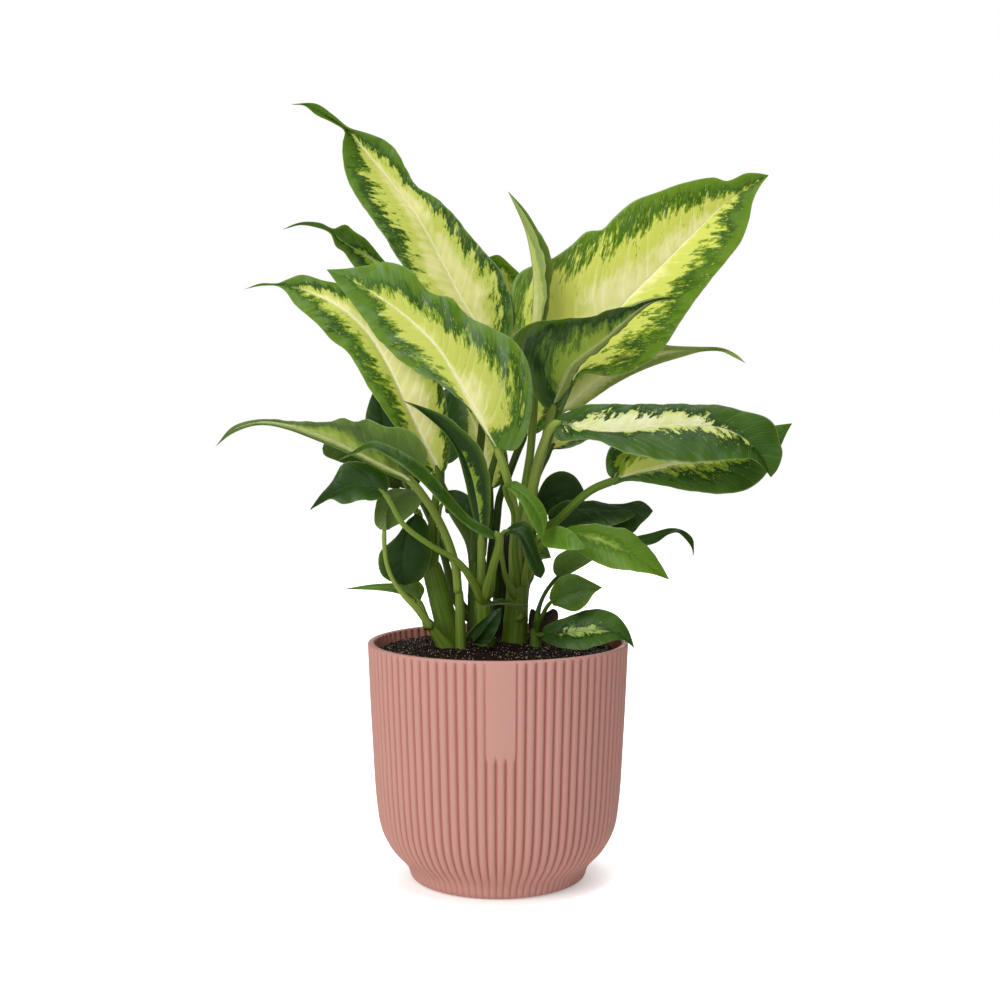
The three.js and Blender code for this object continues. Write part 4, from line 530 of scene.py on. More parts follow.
@dataclass(frozen=True)
class Curve:
    """A centripetal Catmull-Rom curve through its points."""

    points: np.ndarray
    steps: int = 400

    def at(self, parts: np.ndarray) -> np.ndarray:
        """Evaluates the curve.

        Args:
            parts: Where, from 0 at the first point to 1 at the last.

        Returns:
            One point for each part.
        """
        p = self.points
        count = len(p)
        place = np.clip(parts, 0, 1) * (count - 1)
        i = np.minimum(np.floor(place).astype(int), count - 2)
        w = (place - i)[:, None]
        ends = np.vstack([2 * p[0] - p[1], p, 2 * p[-1] - p[-2]])
        a, b, c, d = (ends[i + k] for k in range(4))
        spans = ((a, b), (b, c), (c, d))
        gaps = [np.linalg.norm(v - u, axis=1, keepdims=True) ** 0.5 for u, v in spans]
        g1 = np.where(gaps[1] < CLOSEST, 1.0, gaps[1])
        g0, g2 = (np.where(gap < CLOSEST, g1, gap) for gap in (gaps[0], gaps[2]))
        m1 = ((b - a) / g0 - (c - a) / (g0 + g1) + (c - b) / g1) * g1
        m2 = ((c - b) / g1 - (d - b) / (g1 + g2) + (d - c) / g2) * g1
        cubic = 2 * b - 2 * c + m1 + m2
        square = -3 * b + 3 * c - 2 * m1 - m2
        return b + m1 * w + square * w**2 + cubic * w**3

    def walk(self, start: float, end: float, shares: np.ndarray) -> Stations:
        """Steps along part of the curve by its length.

        Args:
            start: Where the part begins, from 0 to 1.
            end: Where it ends.
            shares: Shares of the part's length, rising.

        Returns:
            The stations at those shares.
        """
        fine = self.at(np.linspace(start, end, self.steps + 1))
        strides = np.linalg.norm(np.diff(fine, axis=0), axis=1)
        walked = np.concatenate([[0], np.cumsum(strides)])
        goal = np.asarray(shares) * walked[-1]
        points = np.stack([np.interp(goal, walked, fine[:, k]) for k in range(3)], axis=1)
        headings = unit(np.gradient(fine, axis=0))
        ahead = unit(np.stack([np.interp(goal, walked, headings[:, k]) for k in range(3)], axis=1))
        return Stations(np.asarray(shares), points, ahead, float(walked[-1]))

    def length(self, start: float, end: float) -> float:
        """The length of part of the curve."""
        return self.walk(start, end, np.array([1.0])).length


# ---- Meshes ----------------------------------------------


@dataclass
class Skin:
    """Vertices, faces and painted values of a piece, in mm, before it becomes a mesh."""

    vertices: list[np.ndarray] = field(default_factory=list)
    faces: Faces = field(default_factory=list)
    paint: dict[str, list[np.ndarray]] = field(default_factory=dict)
    count: int = 0

    def add(self, vertices: np.ndarray, faces: Faces, **paint: np.ndarray | float) -> None:
        """Adds one closed shell.

        Args:
            vertices: Its points.
            faces: Its faces, numbered from its own first point.
            **paint: A value for each point under each name.
        """
        self.faces.extend(tuple(i + self.count for i in face) for face in faces)
        self.vertices.append(vertices)
        for name, values in paint.items():
            flat = np.broadcast_to(np.asarray(values, float), (len(vertices),))
            self.paint.setdefault(name, []).append(flat)
        self.count += len(vertices)

    def piece(self, name: str, material: bpy.types.Material) -> bpy.types.Object:
        """Makes the mesh object.

        Args:
            name: The piece's name.
            material: Its finish.

        Returns:
            The object, in metres and linked to the scene.
        """
        mesh = bpy.data.meshes.new(name)
        mesh.from_pydata((np.vstack(self.vertices) * MM).tolist(), [], self.faces)
        for label, values in self.paint.items():
            layer = mesh.attributes.new(label, "FLOAT", "POINT")
            layer.data.foreach_set("value", np.concatenate(values).astype(np.float32))
        mesh.polygons.foreach_set("use_smooth", [True] * len(mesh.polygons))
        mesh.materials.append(material)
        mesh.update()
        made = bpy.data.objects.new(name, mesh)
        bpy.context.scene.collection.objects.link(made)
        return made


def tube_faces(rings: int, sides: int) -> Faces:
    """Faces of a closed tube whose rings follow each other.

    Args:
        rings: Number of rings.
        sides: Points in each ring.

    Returns:
        The side walls and both end caps.
    """
    faces: Faces = []
    for r in range(rings - 1):
        for i in range(sides):
            j = (i + 1) % sides
            faces.append((r * sides + i, r * sides + j, (r + 1) * sides + j, (r + 1) * sides + i))
    faces.append(tuple(reversed(range(sides))))
    faces.append(tuple(range((rings - 1) * sides, rings * sides)))
    return faces


# ---- Finishes --------------------------------------------


def linear(part: float) -> float:
    """A part of a colour, given from 0 to 255 as on a screen, as the linear one of a shader."""
    return ((part / 255 + 0.055) / 1.055) ** 2.4 if part > 10 else part / 255 / 12.92


def tint(red: float, green: float, blue: float) -> Colour:
    """A colour given from 0 to 255 as on a screen, as the linear colour that a shader takes."""
    return (linear(red), linear(green), linear(blue), 1.0)


MIX_FIRST, MIX_SECOND, MIX_RESULT = 6, 7, 2  # the colour sockets of a Mix node


@dataclass
class Graph:
    """Builds the nodes of one shader or one shader group."""

    tree: bpy.types.NodeTree

    def add(self, kind: str, *values: Value | Colour | None, **settings: object) -> bpy.types.Node:
        """Adds a node.

        Args:
            kind: Its type.
            *values: What goes into its first inputs, a socket or a constant; None leaves one alone.
            **settings: Its own options.

        Returns:
            The node.
        """
        node = self.tree.nodes.new(kind)
        for name, setting in settings.items():
            setattr(node, name, setting)
        for i, value in enumerate(values):
            self.feed(node.inputs[i], value)
        return node

    def feed(self, socket: Socket, value: Value | Colour | None) -> None:
        """Links one socket into another, or sets its constant.

        Args:
            socket: The input.
            value: The output that feeds it, or a constant; None leaves it alone.
        """
        if isinstance(value, bpy.types.NodeSocket):
            self.tree.links.new(value, socket)
        elif value is not None:
            socket.default_value = value

    def maths(self, sum_of: str, a: Value, b: Value | None = None, clamp: bool = False) -> Socket:
        """One sum: the operation on a, or on a and b."""
        return self.add("ShaderNodeMath", a, b, operation=sum_of, use_clamp=clamp).outputs[0]

    def plus(self, a: Value, b: Value) -> Socket:
        """a + b."""
        return self.maths("ADD", a, b)

    def times(self, a: Value, b: Value) -> Socket:
        """a × b."""
        return self.maths("MULTIPLY", a, b)

    def minus(self, a: Value, b: Value, clamp: bool = False) -> Socket:
        """a - b, kept from 0 to 1 if clamped."""
        return self.maths("SUBTRACT", a, b, clamp)

    def rise(self, value: Value, start: Value, end: Value) -> Socket:
        """A soft rise from 0 at start to 1 at end."""
        node = self.add("ShaderNodeMapRange", value, start, end, interpolation_type="SMOOTHSTEP")
        return node.outputs[0]

    def mixed(self, share: Value, a: Socket | Colour, b: Socket | Colour) -> Socket:
        """Turns one colour into another.

        Args:
            share: How much of the second there is, from 0 to 1.
            a: The first.
            b: The second.

        Returns:
            The mixed colour.
        """
        node = self.add("ShaderNodeMix", share, data_type="RGBA")
        self.feed(node.inputs[MIX_FIRST], a)
        self.feed(node.inputs[MIX_SECOND], b)
        return node.outputs[MIX_RESULT]

    def ramp(self, value: Value, *stops: tuple[float, Colour]) -> Socket:
        """Makes a colour follow a value.

        Args:
            value: The value.
            *stops: The colours, each with the value that it stands at, rising.

        Returns:
            The colour.
        """
        node = self.add("ShaderNodeValToRGB", value)
        steps = node.color_ramp.elements
        steps[0].position, steps[0].color = stops[0]
        steps[1].position, steps[1].color = stops[-1]
        for place, colour in stops[1:-1]:
            steps.new(place).color = colour
        return node.outputs[0]

    def vector(self, x: Value, y: Value, z: Value) -> Socket:
        """A vector from three values."""
        return self.add("ShaderNodeCombineXYZ", x, y, z).outputs[0]

    def noise(self, where: Socket, scale: Value, detail: float, rough: float = 0.5) -> Socket:
        """Makes soft noise.

        Args:
            where: Where it is read.
            scale: Lumps to a unit.
            detail: How many finer layers it has.
            rough: How strong they are.

        Returns:
            A value from 0 to 1, mostly near 0.5.
        """
        node = self.add("ShaderNodeTexNoise", where)
        self.feed(node.inputs["Scale"], scale)
        node.inputs["Detail"].default_value = detail
        node.inputs["Roughness"].default_value = rough
        return node.outputs[0]

    def painted(self, name: str) -> Socket:
        """A value painted on the mesh."""
        return self.add("ShaderNodeAttribute", attribute_name=name).outputs["Fac"]

    def group(self, made: bpy.types.NodeTree, **values: Value) -> bpy.types.Node:
        """Places a shared effect.

        Args:
            made: The effect's group.
            **values: What its inputs are fed with, by their names.

        Returns:
            The placed node.
        """
        node = self.add("ShaderNodeGroup", node_tree=made)
        for name, value in values.items():
            self.feed(node.inputs[name], value)
        return node


class Effect:
    """A shader group with named inputs and outputs, built once."""

    def __init__(self, name: str, inputs: dict[str, float], outputs: tuple[str, ...]) -> None:
        """Opens the group.

        Args:
            name: The group's name.
            inputs: Its inputs and their values where nothing is fed.
            outputs: Its outputs.
        """
        self.tree = bpy.data.node_groups.new(name, "ShaderNodeTree")
        for label, value in inputs.items():
            self.socket(label, "INPUT").default_value = value
        for label in outputs:
            self.socket(label, "OUTPUT")
        self.graph = Graph(self.tree)
        self.given = self.graph.add("NodeGroupInput").outputs
        self.result = self.graph.add("NodeGroupOutput").inputs

    def socket(self, name: str, way: str) -> bpy.types.NodeTreeInterfaceSocket:
        """Adds one socket that carries a number."""
        return self.tree.interface.new_socket(name, in_out=way, socket_type="NodeSocketFloat")


def vein_run() -> bpy.types.NodeTree:
    """Says which lateral vein a point of a blade belongs to.

    Returns:
        A group that puts out Station: how far along the midrib, in mm, the vein through the point
        leaves it. Veins lean towards the tip and curve further near the margin.
    """
    inputs = {"Along": 0, "Out": 0, "Lean": VEIN_LEAN, "Curl": VEIN_CURL}
    effect = Effect("Vein run", inputs, ("Station",))
    g, given = effect.graph, effect.given
    lean = g.times(given["Out"], given["Lean"])
    curl = g.times(g.times(given["Out"], given["Out"]), given["Curl"])
    g.feed(effect.result["Station"], g.minus(given["Along"], g.plus(lean, curl)))
    return effect.tree


def feathered_edge() -> bpy.types.NodeTree:
    """Breaks the edge between cream and green tissue into streaks along the veins, with flecks.

    Returns:
        A group with Mask, 1 in cream tissue, Depth, how far inside the cream a point lies, Drops,
        1 in pale flecks out in the green, and Specks, 1 in green flecks just inside the cream.
    """
    inputs = {"Field": 0, "Station": 0, "Out": 0, "Seed": 0, "Streak": 0.5, "Fleck": 0.3, "Soft": 0}
    effect = Effect("Feathered edge", inputs, ("Mask", "Depth", "Drops", "Specks"))
    g, given = effect.graph, effect.given

    def streaks(across: float, down: float, detail: float, shift: float = 0.0) -> Socket:
        """Draws noise out along the veins.

        Args:
            across: Its size across the veins, in mm.
            down: Its size down them.
            detail: How many finer layers it has.
            shift: What sets it apart from the other noises.

        Returns:
            A value about 0.
        """
        x = g.times(given["Station"], 1 / across)
        y = g.times(given["Out"], 1 / down)
        where = g.vector(x, y, g.plus(given["Seed"], shift))
        return g.minus(g.noise(where, 1.0, detail, 0.55), 0.5)

    broad = g.times(streaks(9.0, 9.0, 3.0), given["Streak"])
    fine = g.times(streaks(2.6, 4.2, 3.0, 40.0), given["Fleck"])
    dots = g.times(streaks(0.9, 1.2, 2.0, 80.0), g.times(given["Fleck"], 0.4))
    depth = g.plus(g.plus(given["Field"], broad), g.plus(fine, dots))
    g.feed(effect.result["Depth"], depth)
    g.feed(effect.result["Mask"], g.rise(depth, g.minus(-0.1, given["Soft"]), given["Soft"]))
    crisp = g.minus(1.0, g.times(given["Soft"], 4.0), clamp=True)
    near = g.times(g.rise(depth, -0.5, -0.14), g.minus(1.0, g.rise(depth, -0.06, 0.0)))
    near = g.times(near, crisp)
    drops = g.rise(streaks(1.2, 1.7, 1.0, 120.0), 0.13, 0.22)
    g.feed(effect.result["Drops"], g.times(drops, near))
    within = g.times(g.rise(depth, -0.02, 0.03), g.minus(1.0, g.rise(depth, 0.14, 0.34)))
    within = g.times(within, crisp)
    specks = g.rise(streaks(1.6, 2.6, 2.0, 160.0), 0.1, 0.2)
    g.feed(effect.result["Specks"], g.times(specks, within))
    return effect.tree


def lateral_veins() -> bpy.types.NodeTree:
    """Draws the lateral veins of a blade.

    Returns:
        A group with Line, 1 on a vein, and Swell, the height of the blade between veins.
    """
    inputs = {"Station": 0, "Out": 0, "Spacing": 7.0, "Width": 0.16, "Seed": 0}
    effect = Effect("Lateral veins", inputs, ("Line", "Swell"))
    g, given = effect.graph, effect.given
    x = g.times(given["Station"], 0.06)
    y = g.times(given["Out"], 0.03)
    drift = g.times(g.minus(g.noise(g.vector(x, y, given["Seed"]), 1.0, 3.0), 0.5), 2.6)
    place = g.plus(g.maths("DIVIDE", given["Station"], given["Spacing"]), drift)
    swing = g.maths("ABSOLUTE", g.maths("SINE", g.times(place, math.pi)))
    g.feed(effect.result["Line"], g.minus(1.0, g.rise(swing, 0.0, given["Width"])))
    g.feed(effect.result["Swell"], g.maths("POWER", swing, 0.6))
    return effect.tree


def surface_grain() -> bpy.types.NodeTree:
    """A fine unevenness fixed to the object.

    Returns:
        A group with Height and a coarser Cloud, both from 0 to 1, for sizes in mm.
    """
    effect = Effect("Surface grain", {"Size": 1.0, "Cloud size": 20.0}, ("Height", "Cloud"))
    g, given = effect.graph, effect.given
    where = g.add("ShaderNodeTexCoord").outputs["Object"]
    for result, size, detail in (("Height", "Size", 2.0), ("Cloud", "Cloud size", 3.0)):
        scale = g.maths("DIVIDE", 1 / MM, given[size])
        g.feed(effect.result[result], g.noise(where, scale, detail))
    return effect.tree


VEIN_RUN = vein_run()
FEATHERED_EDGE = feathered_edge()
LATERAL_VEINS = lateral_veins()
SURFACE_GRAIN = surface_grain()


def opened(name: str) -> tuple[bpy.types.Material, Graph, bpy.types.Node]:
    """Starts a material.

    Args:
        name: Its name.

    Returns:
        The material, the builder of its nodes and its surface shader.
    """
    made = bpy.data.materials.new(name)
    made.use_nodes = True
    graph = Graph(made.node_tree)
    return made, graph, made.node_tree.nodes["Principled BSDF"]


def raised(graph: Graph, height: Socket, distance: float, under: Socket | None = None) -> Socket:
    """Lets a height lean the surface.

    Args:
        graph: The material's nodes.
        height: The height, in parts of distance.
        distance: How high a height of 1 is, in metres.
        under: The normal that it starts from, if not the mesh's own.

    Returns:
        The normal.
    """
    node = graph.add("ShaderNodeBump")
    node.inputs["Distance"].default_value = distance
    graph.feed(node.inputs["Height"], height)
    if under is not None:
        graph.feed(node.inputs["Normal"], under)
    return node.outputs["Normal"]


@dataclass(frozen=True)
class LeafFinish:
    """Living leaf tissue: cream heart, lime edge and green margin, paler and duller beneath.

    The midrib is the colour of pith. Streak and fleck say how ragged the cream's edge is, soft how
    blurred it is, drops and specks how strong the flecks beside it are, and veined how pale the
    veins stand out in the green. The gaps between the side veins and between the fine ones are in
    mm, and the heights of the swellings between them in metres.
    """

    name: str
    green: Colour = tint(74, 114, 24)
    deep: Colour = tint(30, 62, 8)
    bright: Colour = tint(128, 162, 34)
    middle: Colour = tint(118, 146, 30)
    bloom: Colour = tint(156, 180, 118)
    lime: Colour = tint(194, 204, 94)
    heart: Colour = tint(236, 232, 166)
    pith: Colour = tint(246, 244, 200)
    beneath: Colour = tint(172, 188, 118)
    # the sheen colour is a painted bluish reflection
    sheen: Colour = tint(150, 172, 156)
    streak: float = 0.95
    fleck: float = 0.85
    soft: float = 0.0
    drops: float = 0.55
    specks: float = 0.6
    veined: float = 0.06
    vein_gap: float = 7.0
    fine_gap: float = 1.6
    swell_height: float = 0.00018
    fine_height: float = 0.00003
    roughness: float = 0.38

    def material(self) -> bpy.types.Material:
        """Builds the material from the values painted on the blade.

        Returns:
            The material.
        """
        made, g, shader = opened(self.name)
        along, out = g.painted("along"), g.painted("out")
        seed, under = g.painted("seed"), g.painted("under")
        run = g.group(VEIN_RUN, Along=along, Out=out).outputs["Station"]
        side = g.plus(seed, g.painted("half"))
        spot = {"Station": run, "Out": out, "Seed": side}
        edge = g.group(FEATHERED_EDGE, Field=g.painted("cream"), Streak=self.streak,
                       Fleck=self.fleck, Soft=self.soft, **spot)
        veins = g.group(LATERAL_VEINS, Spacing=self.vein_gap, Width=0.2, **spot)
        fine = g.group(LATERAL_VEINS, Spacing=self.fine_gap, Width=0.55, **spot)
        grain = g.group(SURFACE_GRAIN, **{"Size": 1.2, "Cloud size": 24.0})
        depth, cloud = edge.outputs["Depth"], g.minus(grain.outputs["Cloud"], 0.5)
        green = self.living(g, depth, cloud, veins.outputs["Line"], fine.outputs["Line"])
        cream = self.pale(g, depth, cloud, veins.outputs["Line"], veins.outputs["Swell"])
        tissue = g.mixed(g.times(edge.outputs["Drops"], self.drops), green, self.lime)
        tissue = g.mixed(edge.outputs["Mask"], tissue, cream)
        tissue = g.mixed(g.times(edge.outputs["Specks"], self.specks), tissue, self.middle)

        pale = g.mixed(0.16, green, self.bloom)
        pale = g.mixed(g.rise(g.painted("cream"), -0.1, 0.2), pale, self.pith)
        tissue = g.mixed(g.painted("rib"), tissue, pale)
        # painted sheen: streaks of a bluish painted reflection over the outer part
        brush = g.noise(g.vector(g.times(run, 0.14), g.times(out, 0.07), seed), 1.0, 2.0)
        painted_sheen_share = g.times(g.painted("sheen"), g.rise(brush, 0.38, 0.72))
        tissue = g.mixed(painted_sheen_share, tissue, self.sheen)
        tissue = g.mixed(g.times(g.painted("hem"), 0.6), tissue, self.bloom)
        tissue = g.mixed(under, tissue, g.mixed(0.5, tissue, self.beneath))
        g.feed(shader.inputs["Base Color"], tissue)
        gloss = g.plus(self.roughness, g.times(cloud, 0.14))
        g.feed(shader.inputs["Roughness"], g.plus(gloss, g.times(under, 0.12)))
        normal = raised(g, veins.outputs["Swell"], self.swell_height)
        ridges = g.plus(fine.outputs["Swell"], grain.outputs["Height"])
        normal = raised(g, ridges, self.fine_height, normal)
        g.feed(shader.inputs["Normal"], normal)
        shader.inputs["Specular IOR Level"].default_value = 0.18
        return made

    def living(self, g: Graph, depth: Socket, cloud: Socket, vein: Socket, fine: Socket) -> Socket:
        """The green tissue: darkest beside the cream, brighter towards the margin.

        Args:
            g: The material's nodes.
            depth: How far inside the cream a point lies, below 0 in the green.
            cloud: A slow unevenness about 0.
            vein: 1 on a lateral vein.
            fine: 1 on one of the fine veins between them.

        Returns:
            The colour.
        """
        beside = g.times(g.rise(depth, -0.42, -0.1), 0.4)
        darkness = g.plus(g.plus(g.painted("deep"), beside), g.times(cloud, 1.1))
        lift = g.plus(g.painted("bright"), g.times(g.painted("rim"), 0.8))
        green = g.mixed(g.rise(darkness, 0.0, 1.0), self.green, self.deep)
        lift = g.maths("MAXIMUM", g.minus(lift, g.times(beside, 0.8)), 0.0)
        green = g.mixed(lift, green, self.bright)
        green = g.mixed(g.times(fine, self.veined * 0.8), green, self.bloom)
        return g.mixed(g.times(vein, self.veined), green, self.bloom)

    def pale(self, g: Graph, depth: Socket, cloud: Socket, vein: Socket, swell: Socket) -> Socket:
        """The cream tissue: yellow-green at its edge, then lime, palest at the midrib.

        Args:
            g: The material's nodes.
            depth: How far inside the cream a point lies.
            cloud: A slow unevenness about 0.
            vein: 1 on a lateral vein.
            swell: The height of the blade between lateral veins.

        Returns:
            The colour.
        """
        edge = g.minus(depth, g.times(g.painted("lime"), 0.2))
        cream = g.mixed(g.rise(edge, -0.06, 0.08), self.middle, self.lime)
        calm = g.plus(g.times(depth, 0.4), g.times(g.painted("cream"), 0.6))
        inner = g.rise(g.minus(calm, g.times(g.painted("lime"), 0.75)), 0.02, 0.42)
        clouded = g.times(g.rise(cloud, -0.06, 0.24), 0.7)
        greener = g.plus(clouded, g.times(g.rise(swell, 0.5, 1.0), 0.2))
        cream = g.mixed(g.minus(inner, greener, clamp=True), cream, self.heart)
        vein = g.times(g.times(vein, g.rise(cloud, 0.3, -0.2)), 0.3)
        return g.mixed(vein, cream, self.heart)


@dataclass(frozen=True)
class StalkFinish:
    """Stalks and canes: green with long pale streaks, with painted shade that makes the canes
    darker where they crowd at the foot.
    """

    name: str = "Stalk"
    pale: Colour = tint(140, 160, 70)
    green: Colour = tint(84, 114, 26)
    deep: Colour = tint(38, 62, 8)
    brown: Colour = tint(30, 24, 16)

    def material(self) -> bpy.types.Material:
        """Builds the material from the values painted on the tubes.

        Returns:
            The material.
        """
        made, g, shader = opened(self.name)
        along, turn, seed = g.painted("along"), g.painted("turn"), g.painted("seed")
        streak = g.noise(g.vector(g.times(along, 0.02), g.times(turn, 9.0), seed), 1.0, 3.0, 0.6)
        thread = g.noise(g.vector(g.times(along, 0.05), g.times(turn, 46.0), seed), 1.0, 1.0)
        light = g.plus(g.painted("light"), g.times(g.minus(streak, 0.5), 0.9))
        colour = g.ramp(light, (0.0, self.deep), (0.45, self.green), (1.0, self.pale))
        colour = g.mixed(g.times(g.rise(thread, 0.5, 0.8), 0.25), colour, self.pale)
        # brown mix: withered cane, on the back shoot partly painted shade
        colour = g.mixed(g.painted("brown"), colour, self.brown)
        g.feed(shader.inputs["Base Color"], colour)
        g.feed(shader.inputs["Roughness"], g.plus(0.42, g.times(streak, 0.16)))
        g.feed(shader.inputs["Normal"], raised(g, thread, 0.00012))
        shader.inputs["Specular IOR Level"].default_value = 0.24
        return made


@dataclass(frozen=True)
class DryFinish:
    """The dried sheath: brittle brown-black fibre with paler frayed streaks."""

    name: str = "Dried sheath"
    brown: Colour = tint(38, 27, 18)
    frayed: Colour = tint(112, 82, 50)

    def material(self) -> bpy.types.Material:
        """Builds the material from the values painted on the blade.

        Returns:
            The material.
        """
        made, g, shader = opened(self.name)
        where = g.vector(g.times(g.painted("along"), 0.12), g.times(g.painted("out"), 1.6), 3.0)
        fibre = g.noise(where, 1.0, 3.0, 0.65)
        colour = g.mixed(g.rise(fibre, 0.45, 0.8), self.brown, self.frayed)
        g.feed(shader.inputs["Base Color"], colour)
        shader.inputs["Roughness"].default_value = 0.85
        g.feed(shader.inputs["Normal"], raised(g, fibre, 0.0004))
        return made


@dataclass(frozen=True)
class PotFinish:
    """Moulded plastic in dusty pink: satin-matte, with a faint grain; painted shade darkens the
    grooves between the ribs and the inner wall, so the ribs look paler.
    """

    name: str = "Pot plastic"
    pink: Colour = tint(199, 149, 139)
    # shade is the darker colour of the painted shade in the grooves and on the inner wall
    shade: Colour = tint(177, 113, 103)

    def material(self) -> bpy.types.Material:
        """Builds the material from the painted shade of the grooves and the inner wall.

        Returns:
            The material.
        """
        made, g, shader = opened(self.name)
        grain = g.group(SURFACE_GRAIN, **{"Size": 0.5, "Cloud size": 45.0})
        groove_shade_and_mottle = g.plus(g.painted("groove"), g.times(g.minus(grain.outputs["Cloud"], 0.5), 0.3))
        # painted shade: the groove value darkens the colour, mottled at random by the cloud
        g.feed(shader.inputs["Base Color"], g.mixed(g.rise(groove_shade_and_mottle, 0.0, 1.0), self.pink, self.shade))
        g.feed(shader.inputs["Roughness"], g.plus(0.5, g.times(grain.outputs["Cloud"], 0.12)))
        g.feed(shader.inputs["Normal"], raised(g, grain.outputs["Height"], 0.00004))
        shader.inputs["Specular IOR Level"].default_value = 0.18
        return made


@dataclass(frozen=True)
class SoilFinish:
    """Damp potting soil: near-black peat with brown fibre and pale grit."""

    name: str = "Potting soil"
    peat: Colour = tint(18, 12, 9)
    bark: Colour = tint(66, 44, 30)
    grit: Colour = tint(214, 196, 168)

    def material(self) -> bpy.types.Material:
        """Builds the material from noise and the shade painted on each crumb.

        Returns:
            The material.
        """
        made, g, shader = opened(self.name)
        grain = g.group(SURFACE_GRAIN, **{"Size": 1.1, "Cloud size": 5.0})
        shade = g.plus(g.times(grain.outputs["Height"], 0.5), g.times(g.painted("crumb"), 0.5))
        colour = g.ramp(shade, (0.3, self.peat), (0.6, self.bark), (0.76, self.grit))
        g.feed(shader.inputs["Base Color"], colour)
        shader.inputs["Roughness"].default_value = 0.75
        shader.inputs["Specular IOR Level"].default_value = 0.15
        g.feed(shader.inputs["Normal"], raised(g, grain.outputs["Height"], 0.0006))
        return made


# ---- Pot -------------------------------------------------


@dataclass
class Pot:
    """The fluted pot: ribs all round, a smooth upright band at the front and a plain lip.

    Sizes are in mm and angles in degrees. A groove's power says how narrow it is beside the ribs.
    The band's edge rises between the two panel_edge insets from panel_half, and ribs set in again
    over panel_foot, beside panel_from. Each step is the space between rows on one part of the wall.
    """

    ribs: int = 84
    points_per_rib: int = 12
    groove: float = 1.6
    groove_power: float = 2.6
    inner_groove: float = 1.5
    inner_power: float = 2.5
    # inner_shade is the painted shade that the whole inner wall starts from
    inner_shade: float = 0.6
    panel_turn: float = 1.4
    panel_half: float = 6.8
    panel_edge: Pair = (0.6, 0.1)
    panel_from: float = 80.0
    panel_foot: Pair = (-4.0, 1.0)
    outer_step: float = 1.9
    inner_step: float = 1.6
    hidden_step: float = 9.0

    # the outer wall at the top of its ribs: height, radius, share of the full groove depth
    profile: Points = (
        (0.0, 42.2, 0.0), (0.15, 43.0, 0.2), (0.6, 44.2, 0.3), (2.2, 46.9, 0.42), (5.5, 48.1, 0.5),
        (8.6, 49.4, 0.55), (12.0, 52.3, 0.75), (17.5, 57.4, 0.92), (28.0, 62.9, 1.0),
        (43.0, 65.5, 1.0), (78.0, 67.7, 1.0), (100.0, 68.8, 1.0),
        (121.0, 69.65, 1.0), (125.0, 69.85, 1.0), (127.2, 69.95, 0.8), (128.2, 69.9, 0.15),
        (128.7, 69.6, 0.0), (129.0, 69.1, 0.0),
    )
    # the inner wall from the lip down to the soil, and the part that the soil hides
    lining: Points = (
        (129.0, 67.4, 0.0), (128.7, 66.7, 0.0), (128.0, 66.3, 0.4), (127.2, 66.0, 1.0),
        (124.0, 65.2, 1.0), (118.5, 64.6, 1.0),
    )
    below_soil: Points = (
        (100.0, 63.75, 0.85), (36.0, 60.8, 0.4), (20.0, 54.6, 0.0), (12.0, 48.6, 0.0),
        (4.0, 43.0, 0.0),
    )

    @staticmethod
    def rows(line: Points, step: float) -> np.ndarray:
        """Fills a profile with rows, smoothly where it bends.

        Args:
            line: The profile.
            step: About how far apart the rows are, in mm.

        Returns:
            Height, radius and groove share of each row.
        """
        coarse = np.asarray(line)
        lengths = np.hypot(*np.diff(coarse[:, :2], axis=0).T)
        places = [0.0]
        for i, length in enumerate(lengths):
            count = max(1, round(length / step))
            places.extend(i + (k + 1) / count for k in range(count))
        return Curve(coarse).at(np.asarray(places) / (len(coarse) - 1))

    def build(self, finish: PotFinish) -> bpy.types.Object:
        """Builds the pot as one closed skin and dresses it.

        Args:
            finish: Its plastic.

        Returns:
            The piece.
        """
        columns = self.ribs * self.points_per_rib
        turn = np.arange(columns) / columns
        angle = turn * 2 * np.pi - np.pi / 2 + math.radians(self.panel_turn)
        across = np.abs(((turn * self.ribs + 0.5) % 1) * 2 - 1)  # 1 in a groove, 0 on top of a rib
        degrees = np.minimum(turn, 1 - turn) * 360
        in_panel = 1 - smooth_step(degrees, *(self.panel_half - inset for inset in self.panel_edge))
        foot = [self.panel_from + gap for gap in self.panel_foot]
        rings, painted_groove_shades = [], []
        for height, radius, share in self.rows(self.profile, self.outer_step):
            panel = in_panel * smooth_step(height, *foot)
            depth = self.groove * np.clip(share, 0, 1) * across**self.groove_power * (1 - panel)
            rings.append(self.ring(angle, radius - depth, height))
            # painted shade, deeper where the groove is deeper
            painted_groove_shades.append(depth / self.groove)
        near = self.rows(self.lining, self.inner_step)
        deep = self.rows(self.below_soil, self.hidden_step)
        for height, radius, share in np.vstack([near, deep]):
            depth = self.inner_groove * np.clip(share, 0, 1) * across**self.inner_power
            rings.append(self.ring(angle, radius + depth, height))
            # painted shade: the inner wall is darker all over and darker still in its grooves
            painted_groove_shades.append(self.inner_shade + depth / self.inner_groove)
        skin = Skin()
        skin.add(np.vstack(rings), tube_faces(len(rings), columns), groove=np.concatenate(painted_groove_shades))
        return skin.piece("pot_fluted", finish.material())

    @staticmethod
    def ring(angle: np.ndarray, radius: np.ndarray | float, height: float) -> np.ndarray:
        """One ring of points round the pot's axis."""
        x, y = radius * np.cos(angle), radius * np.sin(angle)
        return np.stack([x, y, np.full_like(angle, height)], axis=1)


# ---- Soil ------------------------------------------------


